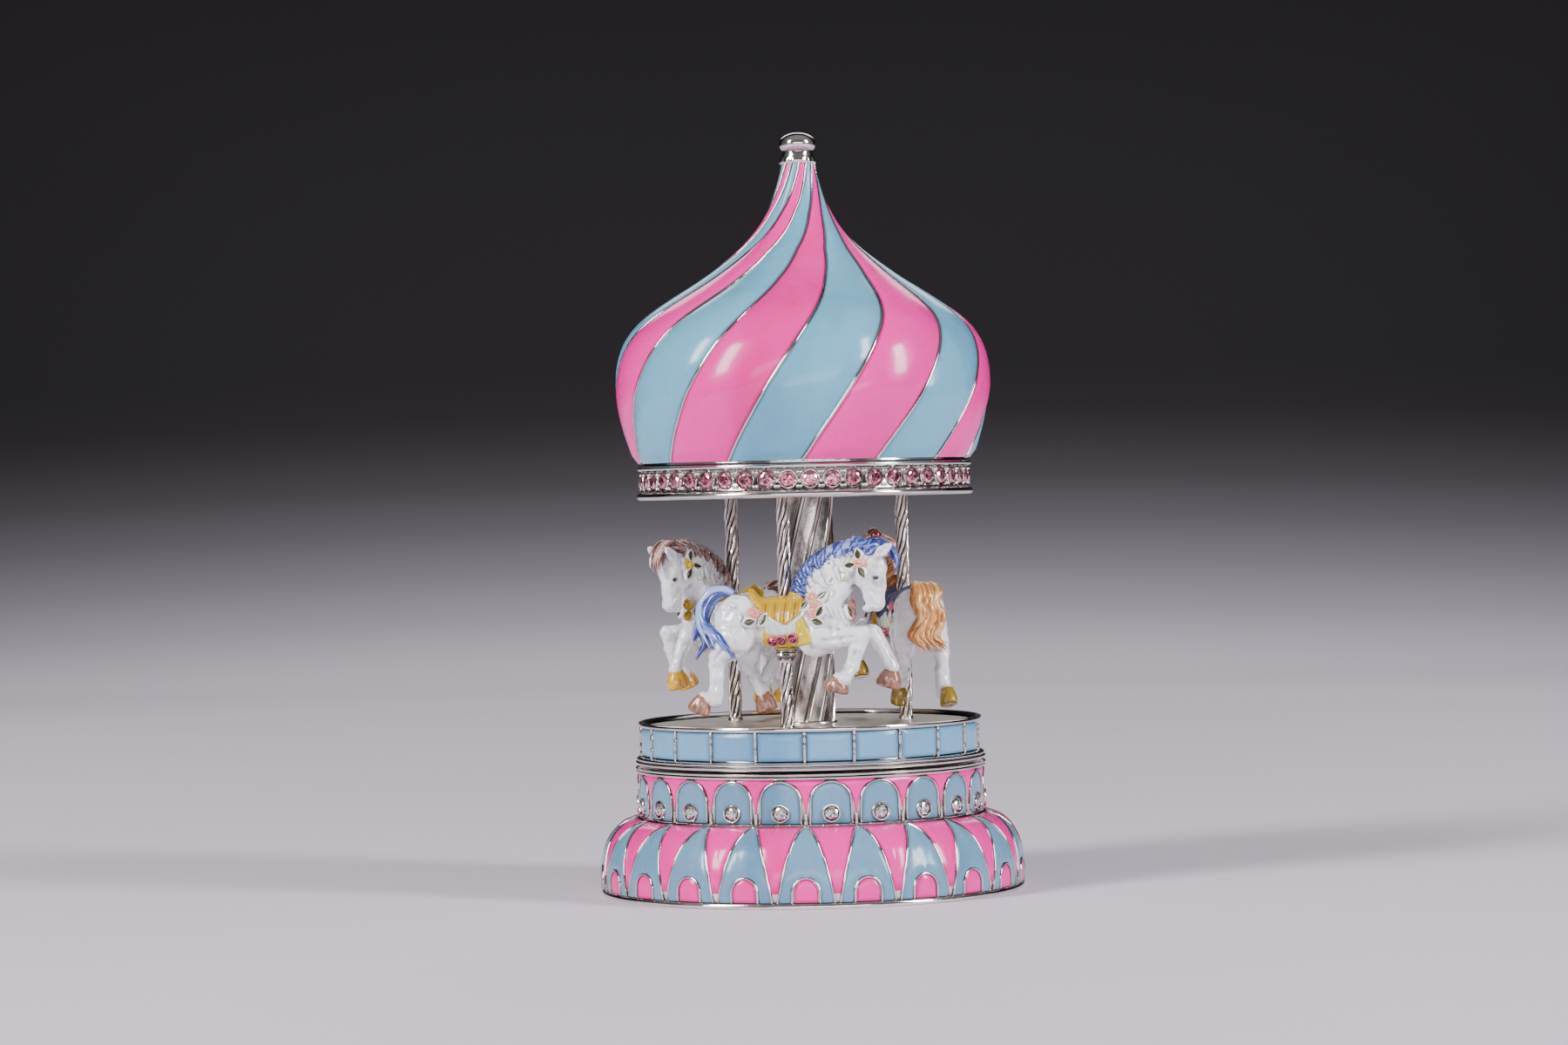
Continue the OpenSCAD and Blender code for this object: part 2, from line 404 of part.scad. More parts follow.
module air_fan() color(gold) translate([worm_x, worm_y, bed_z + 10.3]) difference() {
    union() {
        cylinder(r = 0.9, h = 1.3, $fn = 32);
        for (a = [0, 180]) rotate(a) translate([0.5, -0.2, 0]) cube([2.7, 0.4, 1.3]);
    }
    translate([0, 0, -1]) cylinder(r = 0.4, h = 4, $fn = 24);
}

// ---------------------------------------------------------------- key
module winding_arbor() color(steel) { translate([0, 0, 5.2]) cylinder(r = 1.5, h = 14.9, $fn = 48); translate([0, 0, 14.5]) rotate(40) translate([1.3, -0.2, 0]) cube([0.5, 0.4, 5]); }
module winding_key() color(gold) difference() {
    union() {
        translate([0, 0, 4.2]) cylinder(r = 2.4, h = 4, $fn = 48);
        for (s = [-1, 1]) translate([s * (key_span / 2 - 4), 0, 4.6]) rotate([90, 0, 0]) translate([0, 0, -0.6]) cylinder(r = 3.4, h = 1.2, $fn = 48);
        translate([-key_span / 2 + 4, -0.6, 1.7]) cube([key_span - 8, 1.2, 4.4]);
    }
    for (s = [-1, 1]) translate([s * (key_span / 2 - 4), 0, 4.6]) rotate([90, 0, 0]) translate([0, 0, -2]) cylinder(r = 1.6, h = 4, $fn = 32);
    translate([0, 0, 5.2]) cylinder(r = 1.5, h = 5, $fn = 48);
}

skirt_shell();
skirt_petals();
skirt_wedges();
skirt_arches();
drum_shell();
drum_arches();
drum_spandrels();
drum_bezels();
drum_stones();
top_plate();
spindle_bush();
bottom_plate();
bottom_screws();
bedplate();
movement_screws();
comb();
shaft_brackets();
governor_frame();
spring_barrel();
barrel_cover();
mainspring();
spindle();
hub_nut();
platform();
platform_panels();
center_column();
tie_rod();
at_pole(0) pole();  // pole_a
at_pole(1) pole();  // pole_b
at_pole(2) pole();  // pole_c
pole_fittings();
at_pole(0) horse();  // horse_a
at_pole(0) hair([0.16, 0.27, 0.55]);  // horse_a_hair
at_pole(0) tack([0.93, 0.80, 0.42]);  // horse_a_tack
at_pole(0) hooves([0.83, 0.58, 0.45]);  // horse_a_hooves
at_pole(1) horse();  // horse_b
at_pole(1) hair([0.80, 0.52, 0.25]);  // horse_b_hair
at_pole(1) tack([0.45, 0.62, 0.80]);  // horse_b_tack
at_pole(1) hooves([0.72, 0.62, 0.35]);  // horse_b_hooves
at_pole(2) horse();  // horse_c
at_pole(2) hair([0.48, 0.34, 0.36]);  // horse_c_hair
at_pole(2) tack([0.90, 0.78, 0.35]);  // horse_c_tack
at_pole(2) hooves([0.80, 0.66, 0.30]);  // horse_c_hooves
canopy_shell();
canopy_ceiling();
canopy_gores_pink();
canopy_gores_blue();
canopy_wires();
canopy_stones();
stone_prongs();
finial();
pin_cylinder();
cylinder_shaft();
governor_wheel();
worm();
air_fan();
winding_key();
winding_arbor();
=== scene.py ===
import math
import random

import bmesh
import bpy
import numpy as np
import openvdb as vdb
from mathutils import Matrix, Vector


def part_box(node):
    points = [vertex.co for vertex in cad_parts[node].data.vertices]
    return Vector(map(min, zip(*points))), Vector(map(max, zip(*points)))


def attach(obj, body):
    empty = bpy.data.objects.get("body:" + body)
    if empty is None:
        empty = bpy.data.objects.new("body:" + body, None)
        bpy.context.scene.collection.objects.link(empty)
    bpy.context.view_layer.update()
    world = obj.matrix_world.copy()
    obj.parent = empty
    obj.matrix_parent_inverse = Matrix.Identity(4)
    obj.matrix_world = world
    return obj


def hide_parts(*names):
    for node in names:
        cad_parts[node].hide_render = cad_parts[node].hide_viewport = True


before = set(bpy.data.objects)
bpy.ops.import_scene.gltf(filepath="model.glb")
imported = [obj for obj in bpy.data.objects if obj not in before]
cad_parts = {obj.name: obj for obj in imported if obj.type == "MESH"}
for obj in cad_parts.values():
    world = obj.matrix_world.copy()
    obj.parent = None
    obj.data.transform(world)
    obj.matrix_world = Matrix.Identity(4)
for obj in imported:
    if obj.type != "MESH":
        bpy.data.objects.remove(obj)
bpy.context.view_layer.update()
MM = 0.001
TAU = 2 * math.pi
BOTH = (-1, 1)
UP = np.array([0.0, 0.0, 1.0])
RNG = random.Random(11)
NPR = np.random.RandomState(5)


def top_mm(node):
    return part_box(node)[1].z / MM


def low_mm(node):
    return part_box(node)[0].z / MM


def wide_mm(node):
    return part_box(node)[1].x / MM


# ---------------------------------------------------------------- materials
class Nodes:
    """Short helpers that add shader nodes to a material or world."""

    def __init__(self, owner):
        owner.use_nodes = True
        self.t = owner.node_tree

    def feed(self, n, inputs):
        """Gives each named input its value, or another node's output to follow."""
        for k, v in inputs.items():
            if isinstance(v, bpy.types.NodeSocket):
                self.t.links.new(v, n.inputs[k])
            elif v is not None:
                n.inputs[k].default_value = v

    def node(self, kind, inputs={}, **settings):
        n = self.t.nodes.new("ShaderNode" + kind)
        for k, v in settings.items():
            setattr(n, k, v)
        self.feed(n, inputs)
        return n

    def coords(self, scale=(1, 1, 1)):
        return self.node("Mapping", {0: self.node("TexCoord").outputs["Object"], "Scale": scale}).outputs[0]

    def noise(self, scale, detail=3.0, rough=0.55, vec=None, distort=0.0):
        return self.node("TexNoise", {"Scale": scale, "Detail": detail, "Roughness": rough, "Distortion": distort,
                                      "Vector": vec or self.coords()}).outputs["Fac"]

    def ramp(self, fac, stops):
        n = self.node("ValToRGB", {0: fac})
        e = n.color_ramp.elements
        while len(e) < len(stops):
            e.new(0.5)
        for k, (p, c) in enumerate(stops):
            e[k].position, e[k].color = p, (*c, 1)
        return n.outputs[0]

    def span(self, fac, a, b, lo=0.0, hi=1.0):
        return self.node("MapRange", {0: fac, "From Min": lo, "From Max": hi, "To Min": a, "To Max": b}).outputs[0]

    def mix(self, fac, a, b):
        a, b = ((*q, 1) if isinstance(q, tuple) else q for q in (a, b))
        return self.node("Mix", {0: fac, 6: a, 7: b}, data_type="RGBA").outputs[2]

    def math(self, operation, *inputs):
        return self.node("Math", dict(enumerate(inputs)), operation=operation).outputs[0]

    def attr(self, name):
        return self.node("Attribute", attribute_name=name).outputs["Fac"]

    def bump(self, fac, dist, strength=1.0, after=None):
        return self.node("Bump", {"Strength": strength, "Distance": dist, "Height": fac, "Normal": after}).outputs[0]


class Mat(Nodes):
    """A material with one Principled shader, whose constant sockets are given by name."""

    def __init__(self, name, **constants):
        self.m = bpy.data.materials.new(name)
        super().__init__(self.m)
        self.t.nodes.clear()
        self.b = self.node("BsdfPrincipled", {k.replace("_", " "): v for k, v in constants.items()})
        self.node("OutputMaterial", {0: self.b.outputs[0]})

    def done(self, base, rough, normal):
        self.feed(self.b, {"Base Color": base, "Roughness": rough, "Normal": normal})
        return self.m


def srgb(*rgb):
    return tuple(((c / 255 + 0.055) / 1.055) ** 2.4 if c > 10 else c / 255 / 12.92 for c in rgb)


def shade(colour, share):
    return tuple(min(1, q * share) for q in colour)


def metal(name, colour, rough=(0.08, 0.2), grain=1500, wave=220, lumps=0.00006):
    """Plated metal: cast lumps and fine grain, with painted shade in its recesses and corners."""
    m = Mat(name, Metallic=1.0)
    c = m.ramp(m.noise(wave, 4), [(0.3, shade(colour, 0.84)), (0.55, colour), (0.8, shade(colour, 1.05))])
    # painted shade: the metal turns near black where the shade mask is high
    c = m.mix(m.span(m.attr("cav"), 0.0, 0.94, 0.08, 0.8), c, shade(colour, 0.03))
    r = m.span(m.noise(grain * 0.35, 5), *rough, 0.3, 0.7)
    b = m.bump(m.noise(wave * 2.2, 3), lumps, 0.6)
    return m.done(c, r, m.bump(m.noise(grain, 2), 0.000012, 0.5, b))


def enamel(name, colour, deep, pale):
    """Poured glass enamel: a clear coat over colour with faint milky streaks, and painted shade towards the wires."""
    m = Mat(name, Metallic=0.0, Coat_Weight=0.5, Coat_Roughness=0.13, Coat_IOR=1.45, Specular_IOR_Level=0.2)
    pools = m.noise(60, 3, 0.5, m.coords((1, 1, 0.35)), 0.4)
    milk = m.noise(700, 4, 0.6, m.coords((1, 1, 0.25)))
    c = m.ramp(pools, [(0.25, deep), (0.5, colour), (0.85, colour)])
    c = m.mix(m.span(milk, 0.0, 0.14, 0.5, 0.85), c, pale)
    # painted shade: each cell darkens towards its wires, where its crowned skin dips
    c = m.mix(m.span(m.attr("edge"), 0.0, 0.7, 0.45, 1.0), c, shade(deep, 0.55))
    r = m.span(m.noise(300, 3), 0.18, 0.34, 0.3, 0.7)
    b = m.bump(m.noise(110, 2, 0.5), 0.00016, 0.35)
    return m.done(c, r, m.bump(m.noise(1100, 2), 0.000006, 0.4, b))


def crystal(name, colour, dark, bright):
    """Foil-backed cut stone: each facet is painted its own brightness, from a dark colour to a bright glint, as painted
    reflections.
    """
    m = Mat(name, Metallic=0.85, Coat_Weight=1.0, Coat_Roughness=0.02, Coat_IOR=1.7)
    n = m.noise(2600, 2)
    facet_glint = m.math("ADD", m.attr("facet"), m.span(n, -0.12, 0.12, 0.3, 0.7))
    # painted reflections: the facet value picks each facet's colour between dark and bright
    c = m.ramp(facet_glint, [(0.08, dark), (0.36, colour), (0.62, colour), (0.9, bright)])
    return m.done(c, m.span(n, 0.08, 0.22), m.bump(m.noise(900, 1), 0.00001, 0.25))


def glaze(name, colour, deep, warm=None, rough=(0.14, 0.3), speck=900):
    """Glossy glaze over cast relief, with painted shade in the hollows."""
    m = Mat(name, Coat_Weight=0.85, Coat_Roughness=0.05)
    c = m.ramp(m.noise(260, 4), [(0.3, shade(colour, 0.93)), (0.6, colour), (0.85, shade(colour, 1.04))])
    if warm:
        c = m.mix(m.span(m.noise(90, 3), 0.0, 0.5, 0.5, 0.75), c, warm)
    # painted shade: the deep colour is laid over the hollows and creases
    c = m.mix(m.span(m.attr("cav"), 0.0, 0.85, 0.08, 1.0), c, deep)
    r = m.span(m.noise(500, 3), *rough, 0.3, 0.7)
    b = m.bump(m.noise(300, 3), 0.00042, 0.6)
    return m.done(c, r, m.bump(m.noise(speck, 2), 0.000015, 0.5, b))


def hair(name, dark, mid, pale):
    """Glazed locks: each lock has its own tint, and its crown carries a painted highlight."""
    m = Mat(name, Coat_Weight=0.8, Coat_Roughness=0.06)
    n = m.noise(700, 4, 0.65)
    c = m.ramp(m.math("ADD", m.attr("tint"), m.span(n, -0.18, 0.18, 0.3, 0.7)), [(0.1, dark), (0.5, mid), (0.9, pale)])
    # painted highlight: the pale colour is laid along the crown of each lock
    c = m.mix(m.span(m.attr("across"), 0.0, 0.6, 0.6, 1.0), c, pale)
    return m.done(c, m.span(n, 0.16, 0.34, 0.3, 0.7), m.bump(n, 0.00012, 0.6))


M = {
    "silver": metal("polished_nickel", (0.86, 0.80, 0.77), (0.07, 0.17), 1500, 160, 0.00004),
    "column": metal("fine_cast_nickel", (0.72, 0.645, 0.605), (0.12, 0.26), 3200, 420, 0.00003),
    "deck": metal("deck_nickel", (0.62, 0.55, 0.50), (0.27, 0.4), 2200, 300, 0.000008),
    "steel": metal("plain_steel", (0.56, 0.57, 0.59), (0.22, 0.4), 3000, 500),
    "brass": metal("bright_brass", (0.80, 0.60, 0.28), (0.16, 0.32), 2500, 400),
    "pink": enamel("enamel_pink", (0.96, 0.018, 0.36), (0.80, 0.008, 0.24), (0.98, 0.08, 0.48)),
    "blue": enamel("enamel_blue", (0.15, 0.41, 0.59), (0.085, 0.28, 0.44), (0.27, 0.54, 0.70)),
    "petal": enamel("enamel_petal_blue", (0.15, 0.305, 0.46), (0.085, 0.20, 0.33), (0.26, 0.42, 0.57)),
    "panel": enamel("enamel_panel_blue", (0.17, 0.38, 0.60), (0.10, 0.26, 0.46), (0.30, 0.50, 0.70)),
    "clear": crystal("cut_clear", (0.62, 0.61, 0.63), (0.03, 0.03, 0.035), (1, 1, 1)),
    "rose": crystal("cut_rose", (0.70, 0.15, 0.245), (0.10, 0.004, 0.02), (1.0, 0.66, 0.74)),
    "ruby": crystal("cut_ruby", (0.36, 0.005, 0.045), (0.03, 0.0, 0.003), (0.92, 0.34, 0.44)),
    "bead": crystal("bead_red", srgb(214, 74, 30), srgb(120, 20, 8), srgb(255, 180, 120)),
    "pearl": glaze("pearl_glaze", (0.92, 0.91, 0.98), (0.085, 0.08, 0.105), (0.60, 0.59, 0.67), (0.13, 0.26), 700),
    "hair_a": hair("hair_blue_glaze", (0.012, 0.028, 0.23), (0.045, 0.095, 0.44), (0.36, 0.44, 0.82)),
    "hair_b": hair("hair_orange_glaze", (0.34, 0.10, 0.012), (0.70, 0.26, 0.05), (0.86, 0.50, 0.21)),
    "hair_c": hair("hair_brown_glaze", (0.10, 0.028, 0.02), (0.32, 0.13, 0.10), (0.78, 0.66, 0.66)),
    "saddle": glaze("saddle_yellow", (0.60, 0.36, 0.001), (0.14, 0.04, 0.001), (0.50, 0.25, 0.001)),
    "cloth_y": glaze("cloth_yellow", (0.70, 0.52, 0.006), (0.24, 0.12, 0.002)),
    "cloth_b": glaze("cloth_blue", (0.045, 0.06, 0.15), (0.012, 0.015, 0.035)),
    "panel_w": glaze("panel_pale_green", srgb(214, 224, 220), srgb(138, 156, 158), srgb(192, 214, 190)),
    "rose_a": glaze("rose_peach", (0.86, 0.37, 0.28), (0.42, 0.11, 0.08), (0.92, 0.52, 0.42)),
    "rose_b": glaze("rose_plum", srgb(190, 84, 110), srgb(110, 36, 64), srgb(214, 120, 140)),
    "rose_c": glaze("rose_yellow", srgb(228, 196, 56), srgb(150, 116, 24), srgb(240, 220, 120)),
    "leaf": glaze("leaf_olive", (0.045, 0.045, 0.008), (0.01, 0.012, 0.003), (0.09, 0.08, 0.02)),
    "hoof_a": glaze("hoof_copper_glaze", (0.32, 0.135, 0.09), (0.09, 0.025, 0.016), (0.42, 0.20, 0.15)),
    "hoof_b": glaze("hoof_olive_glaze", (0.32, 0.20, 0.015), (0.10, 0.055, 0.004), (0.48, 0.32, 0.05)),
    "hoof_c": glaze("hoof_gold_glaze", (0.82, 0.42, 0.012), (0.36, 0.14, 0.004), (0.88, 0.60, 0.06)),
    "scroll": glaze("scroll_green", srgb(196, 208, 160), srgb(140, 156, 110)),
    "eye": glaze("eye_dark", srgb(34, 28, 26), srgb(10, 8, 8), None, (0.05, 0.12)),
}


# ---------------------------------------------------------------- mesh tools
class Build:
    """Collects vertices, faces and point attributes for one piece."""

    def __init__(self):
        self.v, self.f, self.n, self.a = [], [], 0, {}

    def add(self, v, f, **attrs):
        v = np.asarray(v, float).reshape(-1, 3)
        n = len(v)
        self.v.append(v)
        self.f += [tuple(int(i) + self.n for i in q) for q in f]
        for k in set(self.a) | set(attrs):
            have = self.a.setdefault(k, [np.zeros(self.n)] if self.n else [])
            val = attrs.get(k, 0.0)
            have.append(np.full(n, val, float) if np.isscalar(val) else np.asarray(val, float).ravel())
        self.n += n
        return self

    def points(self, matrix=None):
        v = np.concatenate(self.v)
        return v if matrix is None else v @ matrix[:3, :3].T + matrix[:3, 3]

    def join(self, other, matrix=None):
        return self.add(other.points(matrix), other.f, **{k: np.concatenate(p) for k, p in other.a.items()})

    def piece(self, name, mat="silver", reps=(), body="carousel", slot="silver", smooth=True, matrix=None, angle=None):
        me = bpy.data.meshes.new(name)
        me.from_pydata((self.points(matrix) * MM).tolist(), [], self.f)
        for k, parts in self.a.items():
            me.attributes.new(k, "FLOAT", "POINT").data.foreach_set("value", np.concatenate(parts).astype(np.float32))
        bm = bmesh.new()
        bm.from_mesh(me)
        bmesh.ops.recalc_face_normals(bm, faces=bm.faces)
        bm.to_mesh(me)
        bm.free()
        me.polygons.foreach_set("use_smooth", [smooth] * len(me.polygons))
        me.materials.append(M[mat])
        o = bpy.data.objects.new(name, me)
        bpy.context.scene.collection.objects.link(o)
        if smooth and angle:
            me.set_sharp_from_angle(angle=math.radians(angle))
        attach(o, body)
        if reps:
            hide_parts(*reps)


def unit(v):
    v = np.asarray(v, float)
    return v / np.maximum(np.linalg.norm(v, axis=-1, keepdims=True), 1e-12)


def circle(n):
    return np.linspace(0, TAU, n, endpoint=False)


def polar(r, th, z):
    return np.stack(np.broadcast_arrays(r * np.cos(th), r * np.sin(th), z), -1)


def from_here(r, z, pts):
    """An outline whose [r, z] points are given from a corner of the part."""
    return [(r + a, z + c) for a, c in pts]


def bump_at(x, at, width):
    """A bell-shaped rise of height 1."""
    return np.exp(-(((x - at) / width) ** 2))


def grid(n, m, close_n=False, close_m=False):
    """Quads of an n by m vertex grid."""
    i = np.arange(n if close_n else n - 1)[:, None]
    j = np.arange(m if close_m else m - 1)[None, :]
    i2, j2 = (i + 1) % n, (j + 1) % m
    q = np.stack(np.broadcast_arrays(i * m + j, i * m + j2, i2 * m + j2, i2 * m + j), -1)
    return q.reshape(-1, 4).tolist()


def capped(n, m):
    """The quads of a closed tube of n rings of m points, with a face on each end."""
    return grid(n, m, False, True) + [tuple(range(m))[::-1], tuple(range((n - 1) * m, n * m))]


def lathe(b, prof, seg=160, wobble=None):
    """Spins an outline of [r, z] points, listed from the bottom up the outside, round Z."""
    p, th = np.array(prof, float), circle(seg)[:, None]
    r = p[:, 0] + (wobble(th, p[:, 1]) if wobble else 0)
    # painted shade: concave turns of the outline are marked for darkening
    t = unit(np.diff(p, axis=0))
    turn = t[:-1, 0] * t[1:, 1] - t[:-1, 1] * t[1:, 0]
    cav = np.concatenate([[0], np.clip(-turn * 1.1, 0, 1), [0]])
    b.add(polar(r, th, p[:, 1]), grid(seg, len(p), True), cav=np.tile(cav, seg))


def tube(b, P, N, w, h, seg=8, lift=0.0, **attrs):
    """A rod with an oval section, w wide along the surface and h high, along points P with normals N."""
    P, N, a, n = np.asarray(P, float), np.asarray(N, float), circle(seg), len(P)
    w, h = (np.broadcast_to(np.asarray(q, float), (n,))[:, None] for q in (w, h))
    T = unit(np.gradient(P, axis=0))
    N = unit(N - (N * T).sum(-1, keepdims=True) * T)
    ring = P[:, None] + np.cross(N, T)[:, None] * (w * np.cos(a))[..., None] + N[:, None] * (h * np.sin(a) + lift)[..., None]
    k = n * seg
    f = grid(n, seg, False, True) + [[k, (j + 1) % seg, j] for j in range(seg)]
    f += [[k + 1, k - seg + j, k - seg + (j + 1) % seg] for j in range(seg)]
    b.add(np.concatenate([ring.reshape(-1, 3), (P[0] + N[0] * lift)[None], (P[-1] + N[-1] * lift)[None]]), f,
          **{key: q if np.isscalar(q) else np.concatenate([np.tile(q, n), [0, 0]]) for key, q in attrs.items()})


class Surf:
    """A surface of revolution, addressed by angle in degrees and distance up its outline."""

    def __init__(self, pts, twist=None):
        p = np.array(pts, float)
        self.s = np.concatenate([[0], np.cumsum(np.hypot(*np.diff(p, axis=0).T))])
        self.L = self.s[-1]
        t = np.gradient(p, self.s, axis=0)
        t /= np.linalg.norm(t, axis=1)[:, None]
        self.p, self.nr, self.nz, self.twist = p, t[:, 1], -t[:, 0], twist

    def at(self, th, s, h=0.0):
        """The point h above the surface, and the way out from it."""
        th, s = np.broadcast_arrays(np.asarray(th, float), np.asarray(s, float))
        r, z, nr, nz = (np.interp(s, self.s, q) for q in (self.p[:, 0], self.p[:, 1], self.nr, self.nz))
        a = np.radians(th + (self.twist(z) if self.twist else 0))
        return polar(r + h * nr, a, z + h * nz), polar(nr, a, nz)

    def deg(self, mm, s):
        return np.degrees(mm / np.interp(s, self.s, self.p[:, 0]))


def cell(b, surf, outline, lift, puff, rings=7, power=5):
    """A poured enamel cell: an outline of [degrees, distance] points filled with a slightly crowned skin."""
    o = np.array(outline, float)
    c, n = o.mean(0), len(o)
    # edge runs from 0 at the crown to 1 at the wire and drives the enamel's painted shade
    v, edge = [surf.at(*c, lift + puff)[0][None]], [np.zeros(1)]
    for k in range(1, rings + 1):
        t = k / rings
        v.append(surf.at(*(c + t * (o - c)).T, lift + puff * (1 - t**power))[0])
        edge.append(np.full(n, t**3))
    v.append(surf.at(*o.T, lift - 0.5)[0])
    edge.append(np.ones(n))
    quads = np.array(grid(rings + 1, n, False, True))[:, [0, 3, 2, 1]] + 1
    b.add(np.concatenate(v), [[0, 1 + j, 1 + (j + 1) % n] for j in range(n)] + quads.tolist(), edge=np.concatenate(edge))


def strip(b, surf, outer, inner, seam, lift, puff, nm=9):
    """One half of a petal: a skin from its outer edge to an inner edge that runs round the arch and then up the middle."""
    o, i = np.array(outer, float), np.array(inner, float)
    i = np.concatenate([i, np.linspace(*seam, len(o) - len(i) + 1)[1:]])
    u = np.linspace(0, 1, nm)[None]
    q = o[:, None] * (1 - u[..., None]) + i[:, None] * u[..., None]
    at_seam = np.arange(len(o))[:, None] >= len(inner) - 1
    crown = np.where(at_seam, 1 - (1 - u) ** 3, 1 - np.abs(2 * u - 1) ** 3)
    crown = crown * np.minimum(1, (q[..., 1] - q[0, 0, 1]) / 1.2 + 0.1)
    # edge is high where the crown falls towards the wires, for the enamel's painted shade
    b.add(surf.at(q[..., 0], q[..., 1], lift + puff * crown)[0], grid(len(o), nm), edge=1 - np.minimum(1, crown * 2.2))


# painted shade: a wire's two flanks are darker than its crown
WIRE_SIDE_SHADE = np.abs(np.cos(circle(8))) ** 2 * 0.75


def worn(width, n, share=0.10):
    """A wire's width, a little uneven along it."""
    return width * (1 + share * NPR.randn(n).clip(-2, 2))


def wire(b, surf, path, w, h, lift=0.06):
    tube(b, *surf.at(*np.array(path, float).T), worn(w, len(path)), h, 8, lift, cav=WIRE_SIDE_SHADE)


def bez(a, b, c, d, n):
    t = np.linspace(0, 1, n)[:, None]
    a, b, c, d = (np.array(x, float) for x in (a, b, c, d))
    return (1 - t) ** 3 * a + 3 * (1 - t) ** 2 * t * b + 3 * (1 - t) * t * t * c + t**3 * d


def smooth_path(pts, n):
    """Catmull-Rom through the points, n samples."""
    p = np.array(pts, float)
    p = np.concatenate([[2 * p[0] - p[1]], p, [2 * p[-1] - p[-2]]])
    u = np.linspace(0, len(p) - 3 - 1e-9, n)
    i = u.astype(int)
    t = (u - i)[:, None]
    a, b, c, d = (p[i + k] for k in range(4))
    return 0.5 * (2 * b + (c - a) * t + (2 * a - 5 * b + 4 * c - d) * t * t + (3 * b - a - 3 * c + d) * t**3)


def stone(b, place, r, h, n=8):
    """A brilliant cut crown: table, star and kite facets, flat shaded, each given a painted brightness; the table's
    triangles are painted to stand for the lower facets seen through it.
    """
    at = lambda q, k, z: np.array([q * math.cos(k * TAU / n), q * math.sin(k * TAU / n), z])
    facet = lambda pts, share: b.add([place(p) for p in pts], [(0, 1, 2)], facet=share)
    rings = [(r, 0.0, 0.0), (r * 0.93, h * 0.4, 0.5), (r * 0.74, h * 0.8, 0.0), (r * 0.56, h, 0.5)]
    v = [[at(q, k + o, z) for k in range(n)] for q, z, o in rings]
    for a in range(3):
        lo, hi = v[a], v[a + 1]
        for k in range(n):
            k2 = (k + 1) % n
            # painted reflections: each facet gets a random brightness, the higher rows a little lighter
            facet((lo[k], hi[k2], hi[k]) if a == 1 else (lo[k], hi[k], hi[k - 1]), 1.25 * RNG.random() * RNG.random() + 0.15 * a)
            facet((lo[k], lo[k2], hi[k2] if a == 1 else hi[k]), 1.25 * RNG.random() * RNG.random() + 0.15 * a)
    flat = r * 0.56 * math.cos(math.pi / n)
    for k in range(2 * n):
        facet((np.array([0, 0, h]), at(flat, k / 2, h), at(flat, (k + 1) / 2, h)), 1.3 * RNG.random() - 0.15)
    for k in range(n):
        c0, c1 = v[3][k], v[3][(k + 1) % n]
        facet((c0, c1, (c0 + c1) / 2 * [0.999, 0.999, 1]), 0.5)


def on_wall(surf, th, s, h0):
    """Returns a function that places local [side, up, out] points on a surface."""
    P, N = surf.at(th, s)
    a = math.radians(th)
    S = np.array([-math.sin(a), math.cos(a), 0.0])
    U = np.cross(N, S)
    return lambda q: P + S * q[0] + U * q[1] + N * (q[2] + h0)


def side_up(N):
    """The level way and the upward way on a face with normal N."""
    S = unit(np.cross(UP, N))
    return S, np.cross(N, S)


def raised(place, *by):
    return lambda q: place(np.array(by) + q)


def disc(b, place, rings, seg=24, ring_shades=None):
    """A small turned part from [radius, height] rings on a placed axis, closed at its last ring."""
    n = len(rings)
    v = [place(np.array([r * math.cos(t), r * math.sin(t), z])) for r, z in rings for t in circle(seg)]
    # an optional list gives each ring its share of painted shade
    b.add(v, grid(n, seg, False, True) + [tuple(range((n - 1) * seg, n * seg))], **({"cav": np.repeat(ring_shades, seg)} if ring_shades else {}))


# ---------------------------------------------------------------- base
CELLS = 22
PITCH = 360 / CELLS
CELL_AZ = -92.2
R_FOOT, R_DRUM = wide_mm("skirt_shell"), wide_mm("drum_arches")

foot_line = bez(*from_here(R_FOOT, 0, [(-0.15, 1.25), (0.25, 7.5), (-0.9, 14.5)]), (R_DRUM + 0.5, 15.65), 52)
foot = Surf(foot_line - [0.25, 0.0])
b = Build()
lathe(b, from_here(R_FOOT, 0, [(-2, 1), (-2, 0), (-0.5, 0), (-0.16, 0.08), (0, 0.26), (0.02, 0.6), (-0.04, 0.95), (-0.25, 1.15)]) +
      [tuple(q) for q in foot.p[::2]] + from_here(R_DRUM, 0, [(0.1, 15.65), (-0.9, 15.7), (-1.2, 13.6)]) +
      [(r - 1.75, z - 0.6) for r, z in foot.p[::-4]] + [(R_FOOT - 2.0, 1.0)], 264)
b.piece("foot_shell", "silver", ["skirt_shell"], "base", angle=50)
S0, S1 = 0.12, foot.L - 0.45


def petal_edge(t):
    """Half width of a petal as a share of the pitch, a parabola in the height seen from the front."""
    high = lambda u: np.interp(u, foot.s, foot.p[:, 1] + 0.09 * (R_FOOT - foot.p[:, 0]))
    seen = (high(S0 + t * (S1 - S0)) - high(S0)) / (high(S1) - high(S0))
    return 0.455 * math.sqrt(max(0.0, 1 - seen)) + 0.003


